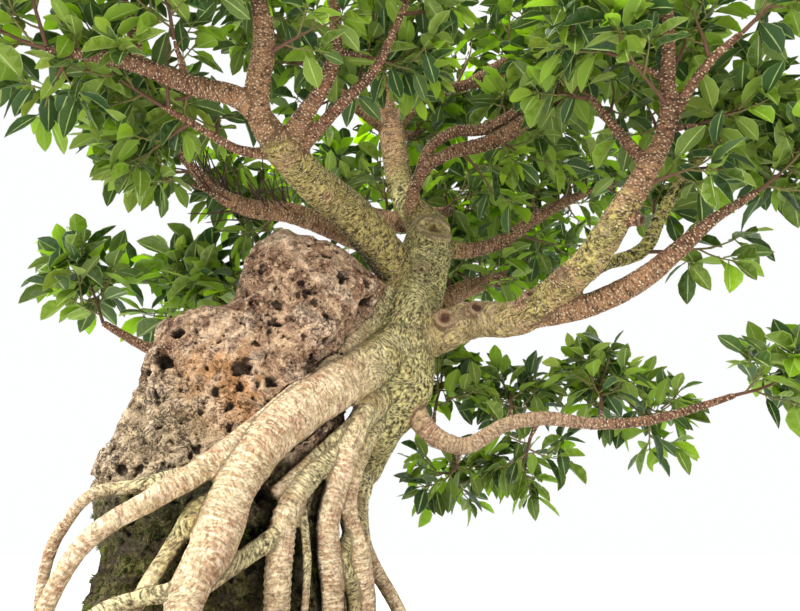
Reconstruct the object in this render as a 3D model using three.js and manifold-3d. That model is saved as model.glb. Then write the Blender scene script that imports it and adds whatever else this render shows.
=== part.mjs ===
// Chinese banyan bonsai: a small-leaved fig whose roots grasp a porous rock,
// planted in a plain stoneware tray. Millimetres, +Z up, the front towards -Y.

import * as THREE from "three";
import { mergeVertices } from "three/addons/utils/BufferGeometryUtils.js";
import Module from "manifold-3d";

const wasm = await Module();
wasm.setup();

// Fits between neighbouring pieces
const GAP = 0.3;
const ROOT_CLEARANCE = 0.45; // a little over the gap, for the flats of the root holes

// Tray
const TRAY_X = -145; // its middle, seen from the trunk
const TRAY_Y = -42;
const TRAY_LENGTH = 540;
const TRAY_DEPTH = 400;
const TRAY_HEIGHT = 96;
const TRAY_CORNER = 48;
const TRAY_WALL = 13;
const TRAY_FLOOR = 13;
const TRAY_TAPER = 26; // narrower at the foot by this much on every side
const RIM_HEIGHT = 18;
const RIM_OVERHANG = 8;
const FOOT_HEIGHT = 14;
const FOOT_SIDE = 78;
const FOOT_INSET = 16;
const DRAIN_RADIUS = 15;
const DRAIN_SPACING = 130;
const CORNER_STEPS = 2;

// Soil
const SOIL_BELOW_RIM = 11;
const MOUND = [[0.82, 11], [0.45, 18]]; // share of the outline, rise

// Leaves and twigs
const LEAF_THICKNESS = 0.8;
const LEAF_ARCH = 0.1; // fall of the tip, as a share of the leaf's length
const STALK_SHARE = 0.14; // of the leaf's length
const BLADE_FOOT = 0.16; // half the blade's width where it starts
const LEAF_STATIONS = [[0.42, 0.98], [0.74, 0.78], [1, 0]]; // share of length, width
const SPINE_HALF = 1.6; // half the side of a square twig
const SHOOT_HALF = 1;
const SHOOTS = 7; // on each spray, the last one at its tip
const LEAVES = 9; // on each shoot, as the growth rule lays them out
const GOLDEN_TURN = 2.4;
const SPINE_STEPS = 3;
const SPINE_STEP = 0.2; // length of each step, as a share of the reach
const SPINE_SWAY = 0.35; // how far chance turns the spine at each step
const SPINE_LIFT = 0.06; // how far it turns up towards the light
const SHOOT_FORWARD = 0.7; // lean of a side shoot along the spine
const SHOOT_OUTWARD = 0.95; // and away from it
const SHOOT_SWAY = 0.3;
const SHOOT_LIFT = 0.12;
const SHOOT_LENGTH = [0.48, 0.14]; // share of the reach at the foot, and lost by the tip
const WHORL_SIZE = 4; // leaves that stand close together at the end of a shoot
const WHORL_LEAN = [0.5, 0.8]; // along the shoot and away from it; the last is straight
const LEAF_LENGTH = [0.32, 0.08]; // share of the reach, and what chance adds
const LEAF_WIDTH = [0.39, 0.06]; // share of the length, and what chance adds
const LEAF_DROOP = [0.1, 0.3];
const LEAF_SWAY = 0.7;
const SIDE_SHOOTS = [1, 3]; // the side shoots that are built
const LEAVES_PER_WHORL = 3;

// Rock: height, middle x and y, half length, depth to the front and to the back
const ROCK_TURN = THREE.MathUtils.degToRad(24);
const ROCK_SIDES = 12;
const ROCK_ROUGHNESS = 0.11;
const ROCK_SQUARENESS = 0.75;
const ROCK_SECTIONS = [
  [55, -184, -67, 133, 58, 92],
  [130, -189, -69, 137, 60, 98],
  [205, -190, -66, 132, 57, 92],
  [275, -188, -59, 134, 52, 90],
  [340, -181, -50, 129, 50, 84],
  [405, -180, -42, 126, 50, 76],
  [440, -168, -38, 108, 52, 72],
  [480, -128, -22, 98, 46, 64],
  [515, -112, -12, 96, 44, 55],
  [556, -124, -14, 58, 32, 40],
  [577, -137, -20, 24, 14, 17],
];

// The wood, as middle lines: x, y, z and radius at each bend
const TRUNK_SIDES = 9;
const STUB_SIDES = 5;
const TWIG_SIDES = 4;
const TWIG_THICKEST = 5;
const TWIG_END = 2.6;
const LIMB_SIDES = [[26, 7], [17, 6], [9, 5], [0, 4]]; // above this radius, this many
const TRUNK = [
  [-48, 32, 272, 20], [-26, 36, 335, 31], [3, 40, 390, 41], [5, 45, 440, 41],
  [20, 50, 495, 38], [30, 55, 550, 37], [40, 60, 595, 36], [38, 66, 628, 30],
  [20, 72, 655, 23], [5, 85, 690, 20], [-5, 100, 750, 21], [-15, 110, 830, 20],
];

const ROOTS = {
  main: [
    [6, 36, 444, 35], [-32, 8, 414, 30], [-84, -40, 368, 29], [-140, -98, 309, 26],
    [-166, -134, 254, 22], [-174, -158, 208, 22], [-188, -180, 168, 18],
    [-190, -190, 76, 13],
  ],
  left: [
    [-18, 50, 522, 22], [-50, 22, 462, 20], [-82, -16, 410, 14], [-125, -68, 358, 12],
    [-161, -106, 314, 12], [-198, -144, 272, 13], [-230, -166, 248, 11],
    [-284, -190, 206, 9], [-308, -194, 150, 8], [-312, -194, 78, 7],
  ],
  left_thin: [
    [-198, -144, 272, 9], [-260, -160, 256, 7], [-290, -162, 252, 6],
    [-326, -150, 216, 6], [-336, -140, 78, 5],
  ],
  second: [
    [-20, 22, 374, 19], [-50, -30, 331, 15], [-66, -60, 276, 14], [-77, -75, 224, 13],
    [-70, -78, 145, 12], [-68, -80, 76, 10],
  ],
  third: [
    [-20, 28, 356, 15], [-45, -20, 300, 11], [-59, -50, 240, 11], [-41, -56, 177, 11],
    [-29, -60, 76, 8],
  ],
  outer: [
    [-46, 30, 285, 19], [-50, 8, 232, 12], [-44, 0, 200, 10], [2, -10, 118, 8],
    [18, -12, 78, 7],
  ],
  dead: [[-56, -36, 332, 8], [-132, -108, 250, 7]],
  ringed: [
    [-68, -44, 301, 12], [-101, -90, 261, 12], [-118, -104, 230, 14],
    [-121, -112, 189, 14], [-114, -124, 76, 11],
  ],
  cross: [[-121, -110, 213, 10], [-184, -166, 166, 9]],
  thin: [[-106, -94, 246, 6], [-96, -98, 193, 5], [-100, -104, 78, 4]],
  short: [[-55, -56, 210, 8], [-63, -68, 180, 9], [-51, -62, 154, 9], [-49, -64, 78, 8]],
  green: [
    [-172, -128, 248, 14], [-198, -144, 234, 12], [-210, -160, 208, 9],
    [-230, -178, 164, 8], [-262, -190, 78, 6],
  ],
  low: [
    [-188, -180, 168, 12], [-212, -184, 164, 8], [-258, -198, 152, 7],
    [-284, -204, 128, 6], [-292, -206, 78, 5],
  ],
  rear: [
    [5, 70, 410, 24], [-35, 86, 340, 17], [-58, 98, 250, 13], [-72, 114, 76, 9],
  ],
  rear_rock: [
    [0, 70, 450, 22], [-70, 62, 425, 16], [-140, 50, 385, 14], [-196, 40, 320, 12],
    [-228, 36, 210, 11], [-236, 44, 76, 8],
  ],
};

const LIMBS = {
  left_main: [
    [15, 55, 525, 28], [-20, 30, 570, 29], [-65, -20, 610, 27], [-110, -70, 630, 24],
    [-145, -120, 652, 22],
  ],
  left_up: [
    [-140, -112, 648, 20], [-165, -145, 675, 15], [-165, -165, 705, 14],
    [-155, -190, 740, 13], [-160, -210, 785, 9], [-172, -232, 820, 5],
  ],
  left_far: [
    [-140, -115, 650, 18], [-185, -160, 690, 13], [-240, -180, 695, 11],
    [-290, -200, 705, 9], [-330, -215, 705, 7], [-375, -230, 702, 4],
  ],
  left_rise: [
    [-290, -200, 705, 7], [-295, -215, 740, 7], [-305, -225, 772, 5],
    [-320, -235, 805, 4],
  ],
  left_inner: [
    [-140, -115, 650, 15], [-115, -140, 680, 11], [-90, -160, 705, 9],
    [-75, -180, 740, 8], [-75, -205, 790, 7], [-75, -222, 825, 5],
  ],
  left_thin: [
    [-126, -110, 648, 9], [-65, -150, 695, 7], [-30, -165, 725, 6],
    [-10, -180, 760, 5], [8, -192, 798, 4],
  ],
  left_loop: [
    [-140, -105, 648, 8], [-195, -125, 645, 6], [-230, -140, 660, 5],
    [-275, -160, 680, 4],
  ],
  back_left: [
    [15, 70, 575, 20], [-95, 55, 620, 16], [-160, 40, 640, 15], [-215, 25, 640, 13],
    [-260, 15, 660, 10], [-300, 0, 700, 7], [-345, -12, 738, 4],
  ],
  crown_left: [
    [-15, 110, 822, 16], [-70, 80, 845, 11], [-112, 55, 866, 8], [-158, 25, 892, 4],
  ],
  crown_up: [
    [-15, 110, 822, 17], [-25, 102, 880, 12], [-35, 88, 930, 8], [-42, 76, 975, 4],
  ],
  crown_right: [
    [-10, 110, 826, 15], [40, 115, 885, 12], [110, 120, 912, 9], [205, 125, 938, 7],
    [275, 130, 962, 4],
  ],
  crown_side: [
    [110, 120, 912, 8], [150, 110, 935, 7], [200, 98, 965, 6], [222, 90, 1005, 4],
  ],
  middle_right: [
    [20, 65, 635, 14], [20, 30, 670, 10], [35, 15, 695, 9], [70, -5, 710, 9],
    [125, -25, 715, 11], [175, -50, 735, 11], [225, -70, 765, 8], [285, -92, 792, 4],
  ],
  middle_up: [
    [26, 22, 684, 9], [45, 10, 730, 8], [80, -5, 745, 8], [110, -20, 737, 8],
    [140, -30, 745, 8], [190, -45, 775, 6], [242, -62, 798, 4],
  ],
  knob_right: [
    [42, 62, 600, 18], [95, 75, 595, 12], [150, 90, 615, 11], [215, 105, 665, 10],
    [285, 115, 705, 7], [350, 128, 732, 4],
  ],
  right_main: [
    [20, 50, 450, 31], [55, 30, 460, 28], [90, 10, 470, 25], [150, -35, 462, 22],
    [190, -75, 485, 20], [220, -110, 510, 19], [250, -140, 555, 16],
    [275, -165, 595, 13], [290, -190, 630, 10], [290, -210, 680, 8],
    [285, -240, 735, 6], [280, -255, 775, 4],
  ],
  right_low: [
    [150, -35, 462, 18], [225, -80, 465, 14], [275, -110, 485, 13],
    [315, -130, 515, 10], [345, -150, 540, 7], [392, -165, 568, 4],
  ],
  right_moss: [
    [180, -62, 468, 12], [240, -80, 512, 8], [290, -95, 530, 9], [305, -110, 560, 8],
    [335, -135, 610, 6], [368, -155, 640, 4],
  ],
  right_inner: [
    [278, -165, 596, 8], [250, -160, 645, 6], [225, -150, 700, 4],
  ],
  right_outer: [
    [288, -186, 626, 8], [310, -210, 665, 6], [330, -230, 690, 5], [355, -248, 708, 4],
  ],
  low_right: [
    [5, 38, 385, 17], [40, 25, 325, 13], [75, 18, 309, 11], [135, 0, 335, 9],
    [170, -10, 340, 9], [240, -20, 332, 7], [300, -25, 336, 6], [355, -34, 350, 5],
    [400, -40, 364, 4],
  ],
  low_left: [
    [0, 75, 480, 17], [-100, 112, 458, 14], [-220, 112, 434, 11], [-355, 90, 450, 8],
    [-420, 72, 484, 5],
  ],
  rear_right: [
    [55, 85, 510, 17], [85, 110, 540, 15], [125, 155, 570, 12], [185, 215, 610, 8],
    [225, 250, 640, 4],
  ],
  rear_left: [
    [5, 80, 640, 15], [-55, 135, 685, 12], [-105, 190, 740, 8], [-140, 225, 775, 4],
  ],
  rear_middle: [
    [30, 75, 652, 12], [75, 145, 690, 9], [100, 200, 725, 6], [118, 240, 755, 4],
  ],
  rear_crown: [
    [-12, 108, 800, 13], [10, 160, 840, 9], [30, 205, 872, 6], [45, 235, 900, 4],
  ],
};

// Pruned stubs and the knob on the trunk: x, y, z, radius at each end
const STUBS = [
  [[40, 55, 600, 30], [48, 38, 612, 21]],
  [[92, 0, 472, 16], [98, -24, 478, 9]],
  [[150, -40, 466, 15], [158, -64, 482, 8]],
  [[186, -70, 486, 14], [192, -98, 496, 7]],
  [[60, 25, 464, 18], [58, -6, 470, 11]],
  [[250, -135, 552, 12], [268, -152, 540, 6]],
  [[-90, -40, 622, 15], [-98, -66, 620, 9]],
];

// Sprays: where each leaves its limb (bend number), its heading and rise in degrees,
// the length of the wood's side twig that carries it, and its own reach
const TIP_SPRAYS = {
  left_up: [215, 50, 150],
  left_far: [200, 12, 150],
  left_rise: [250, 60, 140],
  left_inner: [300, 55, 150],
  left_thin: [320, 55, 130],
  left_loop: [205, 15, 135],
  back_left: [165, 25, 150],
  crown_left: [200, 30, 150],
  crown_up: [260, 65, 125],
  crown_right: [10, 20, 150],
  crown_side: [340, 50, 120],
  middle_right: [345, 25, 140],
  middle_up: [20, 30, 135],
  knob_right: [25, 20, 145],
  right_main: [270, 70, 140],
  right_low: [345, 22, 135],
  right_moss: [20, 35, 130],
  right_inner: [140, 50, 120],
  right_outer: [330, 35, 130],
  low_right: [355, 15, 135],
  low_left: [150, 50, 160],
  rear_right: [50, 25, 150],
  rear_left: [130, 30, 150],
  rear_middle: [75, 30, 145],
  rear_crown: [70, 40, 140],
};
const SIDE_SPRAYS = [
  ["left_far", 2, 255, 45, 40, 135],
  ["left_inner", 3, 35, 15, 40, 130],
  ["back_left", 3, 110, 25, 45, 140],
  ["back_left", 4, 225, -5, 35, 130],
  ["crown_left", 2, 120, 50, 35, 135],
  ["crown_right", 2, 80, 25, 45, 140],
  ["middle_up", 5, 60, 50, 35, 130],
  ["right_main", 8, 10, 15, 35, 130],
  ["right_main", 9, 185, 25, 35, 130],
  ["low_right", 1, 80, 40, 45, 125],
  ["low_right", 2, 90, -28, 35, 120],
  ["low_right", 3, 75, 30, 40, 125],
  ["low_right", 4, 95, -26, 40, 120],
  ["low_right", 5, 60, 40, 25, 120],
  ["low_right", 6, 70, 5, 30, 130],
  ["low_left", 3, 60, 60, 35, 160],
  ["low_left", 2, 170, 60, 40, 165],
  ["rear_right", 2, 130, 35, 40, 135],
  ["knob_right", 3, 100, 60, 40, 140],
];

// Small vector helpers
const plus = (a, b) => [a[0] + b[0], a[1] + b[1], a[2] + b[2]];
const minus = (a, b) => [a[0] - b[0], a[1] - b[1], a[2] - b[2]];
const times = (a, k) => [a[0] * k, a[1] * k, a[2] * k];
const dot = (a, b) => a[0] * b[0] + a[1] * b[1] + a[2] * b[2];
const cross = (a, b) => [
  a[1] * b[2] - a[2] * b[1],
  a[2] * b[0] - a[0] * b[2],
  a[0] * b[1] - a[1] * b[0],
];
const unit = (a) => times(a, 1 / Math.hypot(...a));
const UP = [0, 0, 1];

function heading(azimuth, elevation) {
  const a = THREE.MathUtils.degToRad(azimuth);
  const e = THREE.MathUtils.degToRad(elevation);
  return [Math.cos(a) * Math.cos(e), Math.sin(a) * Math.cos(e), Math.sin(e)];
}

// A repeatable stream of numbers between 0 and 1
function seeded(seed) {
  let state = seed >>> 0;
  return () => {
    state = (state + 0x6d2b79f5) >>> 0;
    let t = state;
    t = Math.imul(t ^ (t >>> 15), t | 1);
    t ^= t + Math.imul(t ^ (t >>> 7), t | 61);
    return ((t ^ (t >>> 14)) >>> 0) / 4294967296;
  };
}

// Closed geometry from rings of equally many points, each end a flat fan
function loft(rings) {
  const count = rings[0].length;
  const index = [];
  for (let r = 0; r < rings.length - 1; r++) {
    for (let i = 0; i < count; i++) {
      const j = (i + 1) % count;
      const a = r * count + i;
      const b = r * count + j;
      index.push(a, b, b + count, a, b + count, a + count);
    }
  }
  const last = (rings.length - 1) * count;
  for (let i = 1; i < count - 1; i++) {
    index.push(0, i + 1, i);
    index.push(last, last + i, last + i + 1);
  }
  const geometry = new THREE.BufferGeometry();
  geometry.setAttribute("position", new THREE.Float32BufferAttribute(rings.flat(2), 3));
  geometry.setIndex(index);
  return geometry;
}

// A tapering limb along its middle line, with the ring frames carried along it;
// its last face looks along endHeading where one is given
function limb(points, sides, grow = 0, endHeading = null) {
  const rings = [];
  let side = null;
  points.forEach((point, i) => {
    const last = i === points.length - 1;
    const before = points[Math.max(i - 1, 0)];
    const after = points[last ? i : i + 1];
    const along = last && endHeading ? endHeading : unit(minus(after, before));
    const start = side ?? (Math.abs(along[2]) > 0.9 ? [1, 0, 0] : UP);
    side = unit(minus(start, times(along, dot(start, along))));
    const other = cross(along, side);
    const radius = point[3] + grow;
    const ring = [];
    for (let k = 0; k < sides; k++) {
      const turn = (k / sides) * 2 * Math.PI;
      const offset = plus(
        times(side, radius * Math.cos(turn)),
        times(other, radius * Math.sin(turn)),
      );
      ring.push(plus(point, offset));
    }
    rings.push(ring);
  });
  return loft(rings);
}

function solid(geometry) {
  const shape = geometry.clone();
  shape.deleteAttribute("normal");
  shape.deleteAttribute("uv");
  const merged = mergeVertices(shape, 1e-4);
  return new wasm.Manifold(
    new wasm.Mesh({
      numProp: 3,
      vertProperties: new Float32Array(merged.attributes.position.array),
      triVerts: new Uint32Array(merged.index.array),
    }),
  );
}

const joined = (solids) => solids.reduce((whole, piece) => whole.add(piece));

function geometryOf(manifold) {
  const mesh = manifold.getMesh();
  const geometry = new THREE.BufferGeometry();
  geometry.setAttribute("position", new THREE.BufferAttribute(mesh.vertProperties, 3));
  geometry.setIndex(new THREE.BufferAttribute(mesh.triVerts, 1));
  return geometry;
}

function apart(a, b) {
  const p = a.boundingBox();
  const q = b.boundingBox();
  for (let k = 0; k < 3; k++) {
    if (p.min[k] > q.max[k] || q.min[k] > p.max[k]) {
      return true;
    }
  }
  return a.intersect(b).isEmpty();
}

// Outline of the tray at one height: a rectangle with round corners
function trayOutline(inset, height) {
  const halfLength = TRAY_LENGTH / 2 - inset;
  const halfDepth = TRAY_DEPTH / 2 - inset;
  const corner = TRAY_CORNER - inset * 0.5;
  const ring = [];
  for (let quarter = 0; quarter < 4; quarter++) {
    const signX = quarter === 0 || quarter === 3 ? 1 : -1;
    const signY = quarter < 2 ? 1 : -1;
    for (let step = 0; step <= CORNER_STEPS; step++) {
      const turn = (quarter + step / CORNER_STEPS) * (Math.PI / 2);
      ring.push([
        TRAY_X + signX * (halfLength - corner) + corner * Math.cos(turn),
        TRAY_Y + signY * (halfDepth - corner) + corner * Math.sin(turn),
        height,
      ]);
    }
  }
  return ring;
}

function traySolid() {
  const under = FOOT_HEIGHT;
  const rimFoot = TRAY_HEIGHT - RIM_HEIGHT;
  const shell = solid(loft([
    trayOutline(TRAY_TAPER, under),
    trayOutline(RIM_OVERHANG, rimFoot),
    trayOutline(0, rimFoot),
    trayOutline(0, TRAY_HEIGHT),
  ]));
  const hollow = solid(loft([
    trayOutline(TRAY_TAPER + TRAY_WALL, under + TRAY_FLOOR),
    trayOutline(RIM_OVERHANG + TRAY_WALL, TRAY_HEIGHT + 1),
  ]));
  let tray = shell.subtract(hollow);
  for (const signX of [-1, 1]) {
    for (const signY of [-1, 1]) {
      const foot = new THREE.BoxGeometry(FOOT_SIDE, FOOT_SIDE, FOOT_HEIGHT + 2);
      foot.translate(
        TRAY_X + signX * (TRAY_LENGTH / 2 - TRAY_TAPER - FOOT_INSET - FOOT_SIDE / 2),
        TRAY_Y + signY * (TRAY_DEPTH / 2 - TRAY_TAPER - FOOT_INSET - FOOT_SIDE / 2),
        FOOT_HEIGHT / 2 + 1,
      );
      tray = tray.add(solid(foot));
    }
    const drain = new THREE.CylinderGeometry(DRAIN_RADIUS, DRAIN_RADIUS, 60, 16);
    drain.rotateX(Math.PI / 2);
    drain.translate(TRAY_X + signX * DRAIN_SPACING, TRAY_Y, FOOT_HEIGHT);
    tray = tray.subtract(solid(drain));
  }
  return tray;
}

function soilSolid() {
  const bottom = FOOT_HEIGHT + TRAY_FLOOR + GAP;
  const top = TRAY_HEIGHT - SOIL_BELOW_RIM;
  const hollowHeight = TRAY_HEIGHT + 1 - FOOT_HEIGHT - TRAY_FLOOR;
  const share = (top - FOOT_HEIGHT - TRAY_FLOOR) / hollowHeight;
  const lean = (TRAY_TAPER - RIM_OVERHANG) * share;
  const inset = TRAY_TAPER + TRAY_WALL + 2 * GAP;
  const edge = trayOutline(inset - lean, top);
  const rings = [trayOutline(inset, bottom), edge];
  for (const [shrink, rise] of MOUND) {
    rings.push(edge.map(([x, y]) => [
      TRAY_X + (x - TRAY_X) * shrink,
      TRAY_Y + (y - TRAY_Y) * shrink,
      top + rise,
    ]));
  }
  return solid(loft(rings));
}

function rockSolid(grow) {
  const draw = seeded(11);
  const rings = ROCK_SECTIONS.map(([z, x, y, half, front, back], section) => {
    const ring = [];
    for (let i = 0; i < ROCK_SIDES; i++) {
      const turn = (i / ROCK_SIDES) * 2 * Math.PI;
      const c = Math.cos(turn);
      const s = Math.sin(turn);
      const rough = 1 + ROCK_ROUGHNESS * (2 * draw() - 1);
      const depth = s < 0 ? front : back;
      const u = (half * rough + grow) * Math.sign(c) * Math.abs(c) ** ROCK_SQUARENESS;
      const v = (depth * rough + grow) * Math.sign(s) * Math.abs(s) ** ROCK_SQUARENESS;
      ring.push([
        x + u * Math.cos(ROCK_TURN) - v * Math.sin(ROCK_TURN),
        y + u * Math.sin(ROCK_TURN) + v * Math.cos(ROCK_TURN),
        section === 0 ? z - grow : z,
      ]);
    }
    return ring;
  });
  return solid(loft(rings));
}

function sidesFor(radius) {
  return LIMB_SIDES.find(([above]) => radius > above)[1];
}

// The twig of the wood that carries a side spray, from the limb's middle line
function sideTwig(name, bend, azimuth, elevation, length) {
  const start = LIMBS[name][bend];
  const end = plus(start, times(heading(azimuth, elevation), start[3] * 0.7 + length));
  const radius = Math.min(start[3] * 0.6, TWIG_THICKEST);
  return [[...start.slice(0, 3), radius], [...end, TWIG_END]];
}

function woodSolid(grow) {
  const parts = [solid(limb(TRUNK, TRUNK_SIDES, grow))];
  for (const points of Object.values(ROOTS)) {
    parts.push(solid(limb(points, sidesFor(points[0][3]), grow)));
  }
  for (const [name, points] of Object.entries(LIMBS)) {
    const tip = TIP_SPRAYS[name];
    const end = tip ? heading(tip[0], tip[1]) : null;
    parts.push(solid(limb(points, sidesFor(points[0][3]), grow, end)));
  }
  for (const points of STUBS) {
    parts.push(solid(limb(points, STUB_SIDES, grow)));
  }
  for (const [name, bend, azimuth, elevation, length] of SIDE_SPRAYS) {
    const twig = sideTwig(name, bend, azimuth, elevation, length);
    parts.push(solid(limb(twig, TWIG_SIDES, grow)));
  }
  return joined(parts);
}

// How one spray grows: a bending spine, side shoots round it, and leaves in a loose
// whorl at the end of each, with a few older ones further back
function growSpray(base, direction, reach, seed) {
  const draw = seeded(seed);
  const jitter = (size) => [
    (draw() - 0.5) * size,
    (draw() - 0.5) * size,
    (draw() - 0.5) * size,
  ];
  const spine = [base];
  const headings = [direction];
  let along = direction;
  for (let step = 0; step < SPINE_STEPS; step++) {
    along = unit(plus(plus(along, jitter(SPINE_SWAY)), times(UP, SPINE_LIFT)));
    spine.push(plus(spine[step], times(along, reach * SPINE_STEP)));
    headings.push(along);
  }
  const level = unit(cross(UP, direction));
  const steep = cross(direction, level);
  const phase = draw() * 2 * Math.PI;
  const shoots = [];
  for (let k = 0; k < SHOOTS; k++) {
    const last = k === SHOOTS - 1;
    const share = (k + 1) / SHOOTS;
    const piece = Math.min(Math.floor(share * SPINE_STEPS), SPINE_STEPS - 1);
    const start = plus(
      spine[piece],
      times(minus(spine[piece + 1], spine[piece]), share * SPINE_STEPS - piece),
    );
    const turn = phase + k * GOLDEN_TURN;
    const out = plus(times(level, Math.cos(turn)), times(steep, 0.7 * Math.sin(turn)));
    const forward = times(headings[piece + 1], SHOOT_FORWARD);
    const aim = unit(plus(
      plus(forward, times(out, last ? 0.1 : SHOOT_OUTWARD)),
      plus(jitter(SHOOT_SWAY), times(UP, SHOOT_LIFT)),
    ));
    const shortened = SHOOT_LENGTH[0] - SHOOT_LENGTH[1] * share;
    const length = reach * shortened * (0.8 + 0.4 * draw());
    const across = unit(cross(aim, Math.abs(aim[2]) > 0.9 ? [1, 0, 0] : UP));
    const over = cross(across, aim);
    const leaves = [];
    for (let j = 0; j < LEAVES; j++) {
      const back = LEAVES - 1 - j;
      const place = back < WHORL_SIZE ? 1 - 0.03 * back : 1 - 0.15 * (back - 2.4);
      const round = turn + back * GOLDEN_TURN;
      const away = plus(times(across, Math.cos(round)), times(over, Math.sin(round)));
      const droop = LEAF_DROOP[0] + LEAF_DROOP[1] * draw();
      const [straight, aside] = back === 0 ? [1, 0.1] : WHORL_LEAN;
      const axis = unit(plus(plus(times(aim, straight), times(away, aside)), [0, 0, -droop]));
      const lift = plus(UP, jitter(LEAF_SWAY));
      const normal = unit(minus(lift, times(axis, dot(lift, axis))));
      const leafLength = reach * (LEAF_LENGTH[0] + LEAF_LENGTH[1] * draw());
      leaves.push({
        base: plus(start, times(aim, length * place)),
        axis,
        normal,
        length: leafLength,
        width: leafLength * (LEAF_WIDTH[0] + LEAF_WIDTH[1] * draw()),
      });
    }
    shoots.push({ start, end: plus(start, times(aim, length)), aim, leaves });
  }
  return { spine, headings, shoots };
}

// A closed mesh that grows ring by ring; every ring has four points, anticlockwise
// as seen from its tip
function newGrowth() {
  const points = [];
  const faces = [];
  return {
    points,
    faces,
    ring(middle, side, over, halfSide, halfOver) {
      const first = points.length;
      for (const [a, b] of [[1, 1], [-1, 1], [-1, -1], [1, -1]]) {
        const offset = plus(times(side, a * halfSide), times(over, b * halfOver));
        points.push(plus(middle, offset));
      }
      return [first, first + 1, first + 2, first + 3];
    },
    bridge(from, to) {
      for (let i = 0; i < 4; i++) {
        const j = (i + 1) % 4;
        faces.push([from[i], from[j], to[j]]);
        if (to[i] !== to[j]) {
          faces.push([from[i], to[j], to[i]]);
        }
      }
    },
    cap(ring) {
      faces.push([ring[0], ring[1], ring[2]], [ring[0], ring[2], ring[3]]);
    },
    geometry() {
      const geometry = new THREE.BufferGeometry();
      const positions = new THREE.Float32BufferAttribute(points.flat(), 3);
      geometry.setAttribute("position", positions);
      geometry.setIndex(faces.flat());
      return geometry;
    },
  };
}

// The four sides and the end of a short node, each a place where a twig or leaf starts
function nodeSockets(growth, lower, upper, withEnd) {
  const sockets = [0, 1, 2, 3].map((k) => {
    const next = (k + 1) % 4;
    return { ring: [lower[k], lower[next], upper[next], upper[k]], used: false };
  });
  if (withEnd) {
    sockets.push({ ring: upper, used: false });
  }
  for (const socket of sockets) {
    const [a, b, c, d] = socket.ring.map((i) => growth.points[i]);
    socket.outward = unit(cross(minus(c, a), minus(d, b)));
    socket.edge = unit(minus(b, a));
  }
  return sockets;
}

function bestSocket(sockets, axis) {
  const free = sockets.filter((socket) => !socket.used);
  free.sort((a, b) => dot(b.outward, axis) - dot(a.outward, axis));
  return free.length && dot(free[0].outward, axis) > 0.3 ? free[0] : null;
}

function closeSockets(growth, sockets) {
  for (const socket of sockets.filter((each) => !each.used)) {
    growth.cap(socket.ring);
  }
}

// The places along a leaf where its outline bends, from the stalk to the tip
function leafStations(leaf, extra = 0) {
  const side = cross(leaf.axis, leaf.normal);
  const half = leaf.width / 2 + extra;
  return LEAF_STATIONS.map(([share, wide]) => ({
    middle: plus(
      plus(leaf.base, times(leaf.axis, leaf.length * share + (share === 1 ? extra : 0))),
      times(leaf.normal, -LEAF_ARCH * leaf.length * share * share),
    ),
    side,
    half: half * wide,
  }));
}

// The blade on its own, used to find out whether there is room for it
function bladeSolid(leaf, extra) {
  const growth = newGrowth();
  const thick = LEAF_THICKNESS / 2 + extra;
  const stalk = {
    middle: plus(leaf.base, times(leaf.axis, leaf.length * STALK_SHARE)),
    side: cross(leaf.axis, leaf.normal),
    half: leaf.width * BLADE_FOOT,
  };
  const rings = [stalk, ...leafStations(leaf, extra)].map(({ middle, side, half }) =>
    growth.ring(middle, leaf.normal, side, thick, Math.max(half, 0.2)));
  growth.cap([...rings[0]].reverse());
  for (let i = 0; i < rings.length - 1; i++) {
    growth.bridge(rings[i], rings[i + 1]);
  }
  growth.cap(rings.at(-1));
  return solid(growth.geometry());
}

// The same ring, started at the corner that lies nearest to the other ring's start
function alignedRing(growth, from, to) {
  const gap = (shift) => from.reduce((sum, point, i) => {
    const other = growth.points[to[(i + shift) % 4]];
    return sum + Math.hypot(...minus(growth.points[point], other));
  }, 0);
  let best = 0;
  for (let shift = 1; shift < 4; shift++) {
    if (gap(shift) < gap(best)) {
      best = shift;
    }
  }
  return from.map((_, i) => to[(i + best) % 4]);
}

function growLeaf(growth, socket, leaf) {
  const [widest, shoulder, tip] = leafStations(leaf);
  const thick = LEAF_THICKNESS / 2;
  const first = growth.ring(widest.middle, leaf.normal, widest.side, thick, widest.half);
  growth.bridge(socket.ring, alignedRing(growth, socket.ring, first));
  const second = growth.ring(
    shoulder.middle, leaf.normal, shoulder.side, thick, shoulder.half);
  growth.bridge(first, second);
  const end = growth.points.length;
  growth.points.push(plus(tip.middle, times(leaf.normal, thick)));
  growth.points.push(plus(tip.middle, times(leaf.normal, -thick)));
  growth.bridge(second, [end, end + 1, end + 1, end]);
  socket.used = true;
}

function growShoot(growth, socket, shoot) {
  socket.used = true;
  const edge = times(socket.edge, -1);
  const side = unit(minus(edge, times(shoot.aim, dot(edge, shoot.aim))));
  const over = cross(shoot.aim, side);
  const before = plus(shoot.end, times(shoot.aim, -2 * SHOOT_HALF));
  const lower = growth.ring(before, side, over, SHOOT_HALF, SHOOT_HALF);
  const upper = growth.ring(shoot.end, side, over, SHOOT_HALF, SHOOT_HALF);
  growth.bridge(socket.ring, lower);
  return nodeSockets(growth, lower, upper, true);
}

function isClear(shape, placed) {
  return placed.every((other) => apart(shape, other));
}

function stickSolid(from, to, half) {
  const radius = half * Math.SQRT2 + GAP;
  return solid(limb([[...from, radius], [...to, radius]], TWIG_SIDES));
}

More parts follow.
